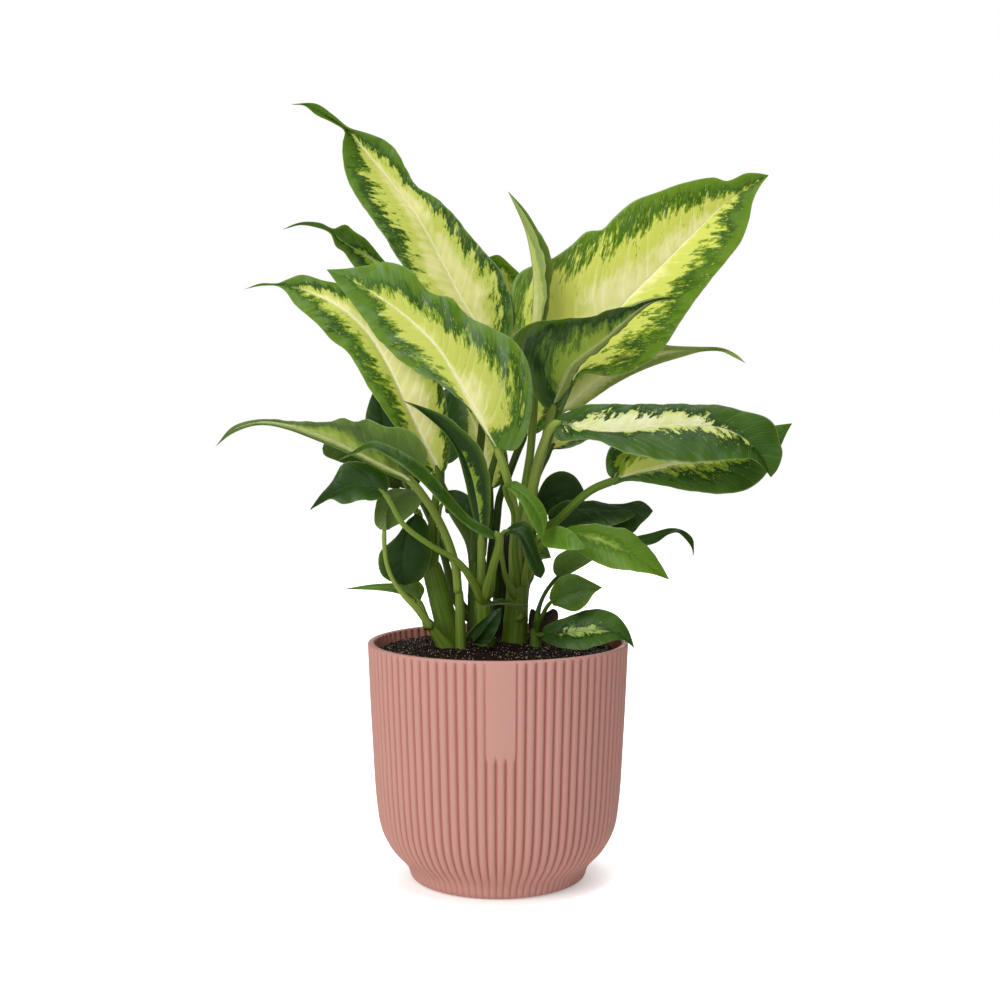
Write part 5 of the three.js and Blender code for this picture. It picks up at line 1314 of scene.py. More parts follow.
@dataclass
class Soil:
    """The bed of potting soil: a lumpy surface strewn with crumbs, grit and bark.

    Sizes are in mm. The bed's surface is drawn in circles from a shoulder beside the wall to the
    middle. Each crumb draws its kind from 0 to 1: past grit_from it is grit, past pale_from the
    palest grit.
    """

    edge_height: float = 123.5
    edge_radius: float = 64.1
    mound: float = 3.5
    mound_reach: float = 66.0
    clod: float = 0.7
    unevenness: float = 0.28
    shoulder: float = 0.9
    middle: float = 0.4
    sides: int = 180
    circles: int = 62
    crumbs: int = 6600
    crumb_inset: float = 1.2
    grit_from: float = 0.8
    pale_from: float = 0.92
    seed: int = 7
    below: Points = ((4.3, 42.4, 0.0), (16.0, 50.8, 0.0), (36.0, 60.0, 0.0), (118.5, 63.8, 0.0))
    grain: Points = ((1, 0, 0), (0, 1, 0), (-1, 0, 0), (0, -1, 0), (0, 0, 1), (0, 0, -1))
    grain_faces: tuple[tuple[int, int, int], ...] = (
        (0, 1, 4), (1, 2, 4), (2, 3, 4), (3, 0, 4), (1, 0, 5), (2, 1, 5), (3, 2, 5), (0, 3, 5),
    )

    def height_at(self, x: np.ndarray, y: np.ndarray) -> np.ndarray:
        """Measures the bed, as in the solids.

        Args:
            x: How far right of the axis.
            y: How far behind it.

        Returns:
            The height of the bed there.
        """
        out = np.minimum(1, np.hypot(x, y) / self.mound_reach)
        lumps = np.sin(x * 0.31 + 1.3) * np.cos(y * 0.27 - 0.6) + 0.5 * np.sin(x * 0.11 - y * 0.53)
        return self.edge_height + self.mound * (1 - out**2) + self.clod * lumps * (1 - 0.6 * out)

    def build(self, finish: SoilFinish) -> bpy.types.Object:
        """Builds the bed and its crumbs as one piece.

        Args:
            finish: Its earth.

        Returns:
            The piece.
        """
        rng = np.random.default_rng(self.seed)
        angle = np.arange(self.sides) / self.sides * 2 * np.pi
        rings = [Pot.ring(angle, radius, height) for height, radius, _ in self.below]
        inner = np.linspace(self.edge_radius - self.shoulder, self.middle, self.circles)
        for radius in (self.edge_radius, *inner):
            ring = Pot.ring(angle, radius, 0.0)
            lumps = rng.normal(0, self.unevenness, self.sides)
            ring[:, 2] = self.height_at(ring[:, 0], ring[:, 1]) + lumps
            rings.append(ring)
        skin = Skin()
        shade = rng.random(self.sides * len(rings)) * 0.5
        skin.add(np.vstack(rings), tube_faces(len(rings), self.sides), crumb=shade)
        for _ in range(self.crumbs):
            self.crumb(skin, rng)
        return skin.piece("soil_bed", finish.material())

    def crumb(self, skin: Skin, rng: np.random.Generator) -> None:
        """Adds one crumb, an uneven eight-faced grain lying on the bed.

        Args:
            skin: What it is added to.
            rng: Where its place, kind, size, shape and shade are drawn from.
        """
        radius = math.sqrt(rng.random()) * (self.edge_radius - self.crumb_inset)
        angle = rng.random() * 2 * math.pi
        x, y = radius * math.cos(angle), radius * math.sin(angle)
        kind = rng.random()
        grit = kind > self.grit_from
        size = 0.24 + 0.2 * rng.random() if grit else 0.3 + 0.7 * rng.random() ** 3
        corners = np.array(self.grain, float) * (rng.uniform(0.6, 1.3, (6, 1)) * size)
        tilt = np.linalg.qr(rng.normal(size=(3, 3)))[0]
        corners = corners @ tilt * (1.0, 1.0, 0.8)
        corners += (x, y, float(self.height_at(np.array(x), np.array(y))) + size * 0.35)
        shade = 1.3 if kind > self.pale_from else (1.0 if grit else 0.4 * rng.random())
        skin.add(corners, list(self.grain_faces), crumb=shade)


# ---- Shoots ----------------------------------------------


def leaf_line(plan: LeafPlan) -> tuple[Curve, float]:
    """The one smooth line of a leaf's stalk and midrib.

    Args:
        plan: The leaf.

    Returns:
        The curve, and where on it the blade begins.
    """
    points = seen(plan.stalk + plan.rib)
    return Curve(points), len(plan.stalk) / (len(points) - 1)


@dataclass
class Shoot:
    """One cane with the stalks that grow from it, each wrapped by its sheath at the foot.

    Sizes are in mm. A cane of at most the slim radius is drawn in to the thickest stalk on it.
    Scars are the rings that old leaves left on a cane. A stalk reaches into its blade by tenon.
    """

    name: str
    plan: ShootPlan
    leaves: list[LeafPlan]
    soil: Soil
    planted: float = 24.0
    cane_step: float = 1.6
    painted_cane_shade: float = 0.1
    scar_gap: float = 11.5
    scar_rise: float = 0.035
    stalk_step: float = 2.2
    stalk_top: float = 2.2
    sheath: float = 3.9
    slim: float = 4.9
    tenon: float = 5.0
    channel: float = 0.16
    sides: int = 18

    def build(self, material: bpy.types.Material) -> bpy.types.Object:
        """Builds the cane and its stalks as one piece.

        Args:
            material: Its finish.

        Returns:
            The piece.
        """
        skin = Skin()
        self.cane(skin)
        for order, plan in enumerate(self.leaves):
            light = self.plan.light + 0.1 * (order % 3 - 1)
            self.stalk(skin, plan, order, light if plan.light is None else plan.light)
        return skin.piece(self.name + "_stems", material)

    def cane(self, skin: Skin) -> None:
        """Adds the cane with its scars.

        Args:
            skin: What it is added to.
        """
        tip = seen((self.plan.top,))[0]
        x, y = self.plan.foot
        mouth = np.array([x, y, float(self.soil.height_at(np.array(x), np.array(y)))])
        up = unit(tip - mouth)
        root = mouth - up * self.planted
        length = float(np.linalg.norm(tip - root))
        shares = np.linspace(0, 1, max(12, int(length / self.cane_step)))
        if self.plan.radius > self.slim:
            taper = np.interp(shares, (0, 0.35, 0.9, 0.97, 1), (0.96, 1, 0.84, 0.76, 0.45))
        else:
            stalk = max(self.foot_radius(plan) for plan in self.leaves) / self.plan.radius
            ends = (stalk * 1.04, stalk * 0.95, stalk * 0.4)
            taper = np.interp(shares, (0, 0.5, 0.86, 0.95, 1), (1, 1) + ends)
        scars = bump((shares * length / self.scar_gap + 0.3) % 1, 0.5, 0.09)
        radius = self.plan.radius * taper * (1 + self.scar_rise * scars)
        points = root + np.outer(shares * length, up)
        ahead = np.tile(up, (len(shares), 1))
        # painted shade: the cane is painted darker than its stalks
        light = self.plan.light - self.painted_cane_shade
        self.tube(skin, points, ahead, radius, 0.0, light, 3.0, self.plan.brown)

    @staticmethod
    def stalk_size(plan: LeafPlan) -> float:
        """How thick a leaf's stalk is beside the thickest, by the length of its blade."""
        curve, joint = leaf_line(plan)
        return min(1.0, max(0.45, 0.25 + curve.length(joint, 1) / 110))

    def foot_radius(self, plan: LeafPlan) -> float:
        """The radius of a stalk at its foot, where its sheath wraps it."""
        return min(self.sheath * self.stalk_size(plan), self.plan.radius * 0.8)

    def stalk(self, skin: Skin, plan: LeafPlan, order: int, light: float) -> None:
        """Adds a leaf's stalk, channelled above and winged by its sheath below.

        Args:
            skin: What it is added to.
            plan: The leaf.
            order: Its place among the shoot's leaves.
            light: How pale the stalk is.
        """
        curve, joint = leaf_line(plan)
        whole = curve.length(0, joint)
        count = max(8, int(whole / self.stalk_step))
        way = curve.walk(0, joint + 0.25 * (1 - joint), np.linspace(0, 1, count))
        keep = way.shares <= whole / way.length + self.tenon / way.length
        shares = way.shares[keep] * way.length / whole
        wrapped = 1 - smooth_step(shares, 0.1, 0.55)
        top, foot = self.stalk_top * self.stalk_size(plan), self.foot_radius(plan)
        radius = top + (foot - top) * wrapped
        if self.plan.radius > self.slim:
            radius = radius * (0.3 + 0.7 * smooth_step(shares * whole, 0, 9))
        narrowed = np.interp(shares, (1, 1 + self.tenon / whole), (0.85, 0.3))
        radius = radius * np.where(shares > 1, narrowed, 1)
        self.tube(skin, way.points[keep], way.ahead[keep], radius, self.channel, light, order)

    def tube(self, skin: Skin, points: np.ndarray, ahead: np.ndarray, radius: np.ndarray,
             channel: float, light: float, seed: float, brown: float = 0.0) -> None:
        """Adds a closed tube.

        Args:
            skin: What it is added to.
            points: The middle of each ring.
            ahead: The way the tube runs at each ring.
            radius: The radius of each ring.
            channel: How deep its upper side is grooved, as a share of the radius.
            light: How pale it is.
            seed: Which streaks it has.
            brown: How withered and brown it is; on the back shoot partly painted shade.
        """
        turn = np.arange(self.sides) / self.sides
        angle = turn * 2 * np.pi
        shape = 1 - channel * bump(np.abs(turn - 0.25), 0.0, 0.09)
        side = square_to(np.array([1.0, 0.0, 0.3]), ahead[0])
        rings = []
        for point, direction, r in zip(points, ahead, radius):
            side = square_to(side, direction)
            other = np.cross(direction, side)
            ring = np.outer(np.cos(angle) * shape * r, side)
            rings.append(point + (ring + np.outer(np.sin(angle) * shape * r, other)))
        strides = np.linalg.norm(np.diff(points, axis=0), axis=1)
        walked = np.concatenate([[0], np.cumsum(strides)])
        skin.add(
            np.vstack(rings),
            tube_faces(len(rings), self.sides),
            along=np.repeat(walked, self.sides),
            turn=np.tile(np.abs(turn * 2 - 1), len(rings)),
            light=light,
            brown=brown,
            seed=seed + len(self.name),
        )


# ---- Leaves ----------------------------------------------


@dataclass(frozen=True)
class Cream:
    """How far out from the midrib a blade is cream, as (share of its length, share of its width).

    Plain is the value of a half without cream, and it falls by fall out to the margin. Steep says
    how fast cream ends past its first and last place, and least is the lowest value.
    """

    left: tuple[Pair, ...] = ()
    right: tuple[Pair, ...] = ()
    plain: float = -0.6
    fall: float = 0.2
    steep: float = 3.0
    least: float = -0.8

    def field(self, share: np.ndarray, out: np.ndarray, half: np.ndarray) -> np.ndarray:
        """How far inside the cream a point lies, below 0 in the green.

        Args:
            share: How far along the blade each point lies, from 0 to 1.
            out: How far from the midrib to the margin, from 0 to 1.
            half: 0 for the sheet's left half, 1 for its right half.

        Returns:
            A value for each point.
        """
        found = self.plain - self.fall * out
        for number, reaches in enumerate((self.left, self.right)):
            if reaches:
                places, widths = np.asarray(reaches).T
                past = np.maximum(0, places[0] - share) + np.maximum(0, share - places[-1])
                inside = np.interp(share, places, widths) - out - self.steep * past
                found = np.where(half == number, inside, found)
        return np.maximum(found, self.least)


def both(*reaches: Pair) -> Cream:
    """Cream of the same reach on both halves."""
    return Cream(reaches, reaches)


@dataclass(frozen=True)
class Look:
    """How a leaf is coloured.

    Its cream; how dark, how bright and how pale-rimmed its green is; how lime rather than cream its
    heart is on each half; how pale its lower side is; how milky its upper side is on each half; how
    strong a painted bluish sheen, a painted reflection, lies over its outer part; and how plain its
    pale midrib is.
    """

    cream: Cream = Cream()
    deep: float = 0.5
    bright: float = 0.1
    rim: float = 0.3
    lime: Pair = (0.25, 0.25)
    pale: float = 0.7
    milky: Pair = (0.0, 0.0)
    sheen: float = 0.0
    midrib: float = 0.75


class Spot(NamedTuple):
    """Where a point lies on a blade.

    Along the midrib and off it in mm, the same as a share of the blade's length and out towards the
    margin as a share of the half's width, which half it is on, and that half's width there in mm.
    """

    along: float
    off: float
    share: float
    out: float
    half: int
    width: float


@dataclass
class Leaf:
    """One blade: both halves drawn out from the midrib to their margins, closed to a thin body.

    Sizes are in mm. Rest is the half width at the blade's foot, shoulder how full its outline is,
    near where the first columns beside the midrib lie, and crease how far from the midrib the two
    halves bend into each other. Margins wave by hem over its two wave numbers, and the tissue
    stands up between side veins by quilt.
    """

    name: str
    plan: LeafPlan
    look: Look
    number: int
    rest: float = 2.4
    shoulder: float = 0.72
    thickness: float = 0.5
    hem_thickness: float = 0.16
    tip_thickness: float = 0.1
    keel: float = 2.0
    keel_half: float = 1.7
    crease: float = 3.0
    near: tuple[float, ...] = (0.45, 0.95, 1.6, 2.5, 4.0)
    row_step: float = 1.5
    row_range: tuple[int, int] = (22, 110)
    column_range: tuple[int, int] = (5, 12)
    hem: Pair = (0.55, 0.35)
    hem_waves: Pair = (0.36, 0.83)
    hem_from: float = 6.0
    quilt: Pair = (0.13, 0.08)
    groove: float = 0.45
    groove_half: float = 0.9

    def margins(self, way: Stations) -> list[np.ndarray]:
        """Measures both halves.

        Args:
            way: The stations of the midrib.

        Returns:
            For each half, the way from the midrib to the margin at every station.
        """
        if not self.plan.left:
            return self.plain_margins(way)
        found = []
        for outline in (self.plan.left, self.plan.right):
            points = seen(outline)
            beside = square_to(points[0] - way.points[0], way.ahead[0])
            points = np.vstack([way.points[0] + beside * self.rest, points, way.points[-1]])
            found.append(Curve(points, 900).walk(0, 1, way.shares).points - way.points)
        return found[::-1] if self.plan.shows is Side.UNDER else found

    def plain_margins(self, way: Stations) -> list[np.ndarray]:
        """Measures both halves of a leaf that is given by its half widths.

        Args:
            way: The stations of the midrib.

        Returns:
            For each half, the way from the midrib to the margin at every station.
        """
        plan = self.plan
        body = np.minimum(1, way.shares / (1 - plan.drip))
        swell = np.sin(np.pi * body ** (math.log(0.5) / math.log(plan.belly)))
        swell = np.maximum(swell, 0) ** self.shoulder
        up = square_to(np.tile(unit(np.array(plan.face)), (len(way.shares), 1)), way.ahead)
        found = []
        for half, turned in ((0, -1), (1, 1)):
            width = plan.halves[half] * swell + self.rest * (1 - way.shares) ** 1.5
            lift = math.radians(plan.lift[half])
            outward = np.cross(way.ahead, up) * turned
            found.append(width[:, None] * (outward * math.cos(lift) + up * math.sin(lift)))
        return found

    def outs(self, width: float, count: int) -> np.ndarray:
        """Places the columns of one half, closest near the midrib and at the margin.

        Args:
            width: The half's width.
            count: How many columns follow the near ones.

        Returns:
            Where they lie, from 0 at the midrib to 1 at the margin.
        """
        near = np.array(self.near) * min(1, width / 9) / max(width, 1e-6)
        rest = np.linspace(0, 1, count + 1)[1:]
        rest = np.append(np.sin(rest[:-1] * np.pi / 2) ** 0.95 * 0.97, 1.0)
        return np.concatenate([near, near[-1] + (1 - near[-1]) * rest])

    def build(self, material: bpy.types.Material) -> bpy.types.Object:
        """Builds the blade and paints on it where cream, midrib and margin lie.

        Args:
            material: Its finish.

        Returns:
            The piece.
        """
        curve, joint = leaf_line(self.plan)
        fewest, most = self.row_range
        rows = int(min(most, max(fewest, curve.length(joint, 1) / self.row_step)))
        part = np.linspace(0, 1, rows + 1)
        way = curve.walk(joint, 1, (part + (1 - np.cos(np.pi * part)) / 2) / 2)
        reach = self.margins(way)
        widest = max(float(np.linalg.norm(r, axis=1).max()) for r in reach)
        fewest, most = self.column_range
        extra = int(min(most, max(fewest, widest / 3)))
        tops, unders, spots = self.lay(way, reach, extra)
        faces = self.faces(rows, 2 * (extra + len(self.near)) + 1)
        skin = Skin()
        skin.add(np.vstack([tops, unders]), faces, **self.paint(spots))
        return skin.piece(self.name + "_blade", material)

    def lay(self, way: Stations, reach: list[np.ndarray],
            extra: int) -> tuple[list[np.ndarray], list[np.ndarray], list[Spot]]:
        """Lays out the blade's points, row by row from its foot to its tip.

        Args:
            way: The stations of the midrib.
            reach: For each half, the way from the midrib to the margin at every station.
            extra: How many columns follow the near ones on each half.

        Returns:
            The points of the upper side, those of the lower side, and where each of them lies.
        """
        ups = [unit(np.cross(way.ahead, reach[0])), unit(np.cross(reach[1], way.ahead))]
        ups = [np.vstack([u[:-1], u[-2:-1]]) for u in ups]
        rib_up = unit(ups[0] + ups[1])
        flat = 0.15 + 0.85 * smooth_step(np.sum(ups[0] * ups[1], axis=1), -0.1, 0.6)
        rng = random.Random(self.number * 13 + 5)
        phases = [rng.uniform(0, 6.28) for _ in range(4)]
        tops, unders, spots = [], [], []
        for i, share in enumerate(way.shares[:-1]):
            for half in (0, 1):
                r = reach[half][i]
                width = float(np.linalg.norm(r))
                lead = float(r @ way.ahead[i])
                aside = math.sqrt(max(0.0, width**2 - lead**2))
                bend = max(0.12, min(self.crease, 0.35 * width) * float(flat[i]))
                outs = self.outs(width, extra)
                for out in outs[::-1] if half == 0 else (0.0, *outs):
                    turn = min(1.0, out * width / bend)
                    up = unit(rib_up[i] * (1 - turn) + ups[half][i] * turn)
                    along = share * way.length + out * lead
                    spot = Spot(along, out * aside, share, out, half, width)
                    top = way.points[i] + r * out + up * self.relief(spot, phases)
                    tops.append(top)
                    unders.append(top - up * self.body(spot))
                    spots.append(spot)
        tops.append(way.points[-1])
        unders.append(way.points[-1] - rib_up[-1] * self.tip_thickness)
        spots.append(Spot(way.length, 0.0, 1.0, 0.0, 0, 0.0))
        return tops, unders, spots

    def body(self, spot: Spot) -> float:
        """Measures how thick the blade is, with the keel under its midrib.

        Args:
            spot: Where.

        Returns:
            The thickness in mm.
        """
        body = self.thickness + (self.hem_thickness - self.thickness) * spot.out**3
        beside = math.exp(-((spot.out * spot.width / self.keel_half) ** 2))
        body += self.keel * (1 - spot.share) ** 1.2 * beside
        return body * min(1.0, 0.6 + spot.width / 6)

    def relief(self, spot: Spot, phases: list[float]) -> float:
        """Measures how far the blade stands above the straight line from midrib to margin.

        Args:
            spot: Where.
            phases: Where the blade's own waves begin.

        Returns:
            The height in mm.
        """
        plan, half, out, off = self.plan, spot.half, spot.out, spot.off
        arch = plan.puff[half] * 4 * out * (1 - out) * math.sin(math.pi * spot.share**0.7)
        ripple = plan.wave * math.sin(2 * math.pi * (plan.waves * spot.share + half / 3))
        if spot.width > self.hem_from:
            long, short = (
                height * math.sin(spot.along * waves + phases[first + half])
                for height, waves, first in zip(self.hem, self.hem_waves, (0, 2))
            )
            ripple = ripple + (long + short)
        station = spot.along - VEIN_LEAN * off - VEIN_CURL * off * off
        drift = 1.4 * math.sin(station * 0.13 + phases[2])
        quilt = self.quilt[0] * math.sin(station * 0.9 + drift + phases[half])
        quilt += self.quilt[1] * math.sin(station * 0.47 - drift)
        quilt *= math.sin(math.pi * min(1.0, out * 1.1))
        groove = -self.groove * math.exp(-((off / self.groove_half) ** 2)) * (1 - spot.share)
        fade = math.sin(math.pi * spot.share)
        return arch + (out**2 * ripple + quilt * min(1.0, spot.width / 22) ** 2) * fade + groove

    def paint(self, spots: list[Spot]) -> dict[str, np.ndarray | float]:
        """Works out what is painted on the blade.

        Args:
            spots: Where the points of its upper side lie.

        Returns:
            Each painted value, for the upper side and then the lower one, or for the whole blade.
        """
        along, off, share, out, half, width = np.array(spots).T
        look = self.look
        drawn = half if self.plan.shows is Side.UPPER or not self.plan.left else 1 - half
        breadth = 0.2 + 1.1 * (1 - share) ** 0.8
        rib = (1 - smooth_step(off / breadth, 0.45, 1.1)) * (1 - smooth_step(share, 0.75, 0.95))
        upper = {
            "along": along,
            "out": off,
            "half": half * 3.0,
            "cream": look.cream.field(share, out, drawn),
            "rib": rib * look.midrib,
            "rim": look.rim * smooth_step(out, 0.6, 1.0),
            "hem": smooth_step(out, 0.965, 1.0) * smooth_step(width, 2, 7),
            # painted sheen: where the bluish painted reflection lies
            "sheen": look.sheen * smooth_step(out, 0.3, 0.7),
            "lime": np.where(drawn == 0, *look.lime),
        }
        milky = np.where(drawn == 0, *look.milky)
        return {
            **{label: np.tile(values, 2) for label, values in upper.items()},
            "deep": look.deep,
            "bright": look.bright,
            "seed": self.number * 5.3,
            "under": np.concatenate([milky, np.full(len(spots), look.pale)]),
        }

    @staticmethod
    def faces(rows: int, columns: int) -> Faces:
        """Joins the points of the upper and lower side, and the margin between them.

        Args:
            rows: Number of rows before the tip.
            columns: Points in each row.

        Returns:
            The faces.
        """
        under = rows * columns + 1
        tip = under - 1
        made: Faces = []
        for i in range(rows - 1):
            for k in range(columns - 1):
                a, b = i * columns + k, (i + 1) * columns + k
                made.append((a, a + 1, b + 1, b))
                made.append((a + under, b + under, b + 1 + under, a + 1 + under))
        last = (rows - 1) * columns
        for k in range(columns - 1):
            made.append((last + k, last + k + 1, tip))
            made.append((last + k + under, tip + under, last + k + 1 + under))
        edge = list(range(columns - 1, -1, -1)) + [i * columns for i in range(1, rows)] + [tip]
        edge += [i * columns + columns - 1 for i in range(rows - 1, 0, -1)]
        for a, b in zip(edge, edge[1:] + edge[:1]):
            made.append((a, b, b + under, a + under))
        return made


LOOKS: dict[str, Look] = {
    "leaf_crown_left": Look(
        Cream(((0, 0.95), (0.3, 0.92), (0.36, 0.72), (0.5, 0.58), (0.6, 0.52),
               (0.7, 0.36), (0.8, 0)),
              ((0.02, 0), (0.1, 0.6), (0.2, 0.82), (0.3, 0.7), (0.6, 0.66), (0.68, 0.4), (0.8, 0))),
        deep=0.3, bright=0.05, rim=0.25, lime=(0.15, 0.05),
    ),
    "leaf_back_left_tip": Look(
        Cream(((0, 0.6), (0.4, 0.5), (0.55, 0.2), (0.7, 0)), ((0, 0.4), (0.4, 0.3), (0.55, 0))),
        deep=0.4, bright=0.1, rim=0.3, lime=(0.8, 0.8), midrib=0.3,
    ),
    "leaf_front_left_large": Look(
        Cream(((0, 0.1), (0.08, 0.3), (0.2, 0.86), (0.3, 0.55), (0.4, 0.47), (0.6, 0.52),
               (0.7, 0.34), (0.82, 0)),
              ((0.09, 0), (0.14, 0.62), (0.3, 0.7), (0.4, 0.48), (0.7, 0.43),
               (0.77, 0.28), (0.84, 0))),
        deep=0.1, bright=0.12, rim=0.35, lime=(0.42, 0.3), sheen=0.26,
    ),
    "leaf_left_long": Look(
        Cream(((0, 0.8), (0.2, 0.58), (0.3, 0.44), (0.5, 0.48), (0.6, 0.4), (0.7, 0.3), (0.85, 0)),
              ((0, 0.5), (0.1, 0.78), (0.3, 0.88), (0.5, 0.82), (0.6, 0.66),
               (0.7, 0.46), (0.82, 0))),
        deep=0.3, bright=0.15, rim=0.3, lime=(0.5, 0.1),
    ),
    "leaf_right_large": Look(
        Cream(((0, 0.9), (0.2, 0.92), (0.3, 0.86), (0.5, 0.73), (0.7, 0.6), (0.8, 0.43), (0.94, 0)),
              ((0, 0.5), (0.1, 0.5), (0.2, 0.62), (0.5, 0.63), (0.7, 0.48),
               (0.8, 0.28), (0.93, 0))),
        deep=0.05, bright=0.22, rim=0.35, lime=(0.3, 0.42),
    ),
    "leaf_young_upright": Look(
        Cream(((0, 1.1), (0.3, 0.8), (0.6, 0.4), (0.9, 0)),
              ((0, 0.7), (0.3, 0.6), (0.5, 0.2), (0.6, 0))),
        deep=0.1, bright=0.4, rim=0.2, lime=(0.4, 0.8), pale=1.2, milky=(0.0, 0.3), midrib=0.2,
    ),
    "leaf_crown_middle": Look(
        both((0.1, 0.6), (0.5, 0.7), (0.8, 0.5), (0.9, 0)), deep=0.1, bright=0.4, lime=(0.7, 0.7),
    ),
    "leaf_right_curled": Look(
        Cream(((0.08, 0), (0.2, 0.36), (0.3, 0.46), (0.5, 0.4), (0.62, 0.24), (0.74, 0)),
              ((0.05, 0.3), (0.2, 0.9), (0.7, 0.9), (0.9, 0.2))),
        deep=0.4, bright=0.05, rim=0.5, lime=(0.9, 0.5), sheen=0.12, midrib=0.2,
    ),
    "leaf_right_under": Look(
        both((0, 0.9), (0.35, 0.8), (0.55, 0.3), (0.7, 0)),
        deep=-0.3, bright=0.7, rim=0.1, lime=(0.0, 0.0), pale=1.0,
    ),
    "leaf_right_level_upper": Look(
        Cream(((0.06, 0), (0.1, 0.25), (0.2, 0.5), (0.3, 0.6), (0.4, 0.52), (0.6, 0.34), (0.66, 0)),
              ((0.1, 0.12), (0.2, 0.2), (0.3, 0.16), (0.6, 0.1), (0.75, 0.12), (0.83, 0))),
        deep=0.5, bright=0.0, rim=0.1, lime=(-0.3, 0.0), sheen=0.08,
    ),
    "leaf_right_level_lower": Look(
        Cream(((0.03, 0.2), (0.1, 0.6), (0.2, 0.6), (0.5, 0.4), (0.8, 0)),
              ((0.1, 0), (0.2, 0.2), (0.3, 0.34), (0.4, 0.32), (0.6, 0.2), (0.76, 0))),
        deep=0.5, bright=0.0, rim=0.1, lime=(1.3, 0.7),
    ),
    "leaf_left_level": Look(
        Cream(((0, 0.5), (0.8, 0.4)),
              ((0, 0.16), (0.25, 0.2), (0.45, 0.34), (0.6, 0.3), (0.85, 0))),
        deep=0.62, bright=0.0, rim=0.3, lime=(1.1, 0.7), pale=0.25, midrib=0.35,
    ),
    "leaf_right_bright": Look(
        both((0.12, -0.06), (0.3, 0.08), (0.5, 0.04), (0.66, -0.12)),
        deep=-0.5, bright=0.24, rim=0.1, lime=(0.5, 0.5), midrib=0.3,
    ),
    "leaf_right_rim": Look(
        both((0.18, -0.06), (0.3, 0.06), (0.44, 0.12), (0.56, 0.04), (0.68, -0.06)),
        deep=0.55, bright=0.0, rim=0.1, lime=(0.05, 0.05), sheen=0.06, midrib=0.2,
    ),
    "leaf_left_arching": Look(deep=0.6, bright=0.0, rim=0.4, sheen=0.15, midrib=0.15),
    "leaf_left_folded": Look(deep=0.5, bright=0.0, pale=0.35, midrib=0.4),
    "leaf_left_dark": Look(deep=0.7, bright=0.0, rim=0.15, midrib=0.15),
    "leaf_middle_dark": Look(
        Cream((), ((0.08, 0), (0.2, 0.3), (0.35, 0.2), (0.5, 0))),
        deep=0.8, bright=0.0, rim=0.3, lime=(1.3, 1.3), midrib=0.1,
    ),
    # painted shade: these undersides lie under other leaves, so their green is made darker and
    # their paleness kept low
    "leaf_left_tucked": Look(deep=0.9, rim=0.1, pale=0.1, midrib=0.2),
    "leaf_middle_low": Look(deep=1.2, bright=0.0, rim=0.0, pale=0.0, midrib=0.1),
    "leaf_right_ribbed": Look(deep=0.5, pale=0.2, midrib=0.3),
    "leaf_right_small": Look(deep=0.55, bright=0.1, midrib=0.15),
    "leaf_right_short": Look(deep=0.3, bright=0.1, midrib=0.2),
    "leaf_middle_arching": Look(deep=0.3, bright=0.1, midrib=0.2),
    "leaf_left_behind": Look(deep=0.8, bright=0.0, rim=0.2, midrib=0.1),
    "leaf_back_middle": Look(deep=0.9, bright=0.0, rim=0.2, midrib=0.3),
}
TONE_LOOKS: dict[Tone, Look] = {
    Tone.CREAM: Look(both((0, 0.5), (0.2, 0.66), (0.6, 0.55), (0.85, 0)), deep=0.35),
    Tone.GREEN: Look(deep=0.4),
    Tone.DARK: Look(deep=0.75, bright=0.0, rim=0.15, midrib=0.2),
    Tone.DRY: Look(),
}


# ---- Studio ----------------------------------------------


@dataclass(frozen=True)
class Lamp:
    """A round soft light: where it hangs and how wide it is, in metres, and its power in watts."""

    name: str
    place: Triple
    width: float
    power: float


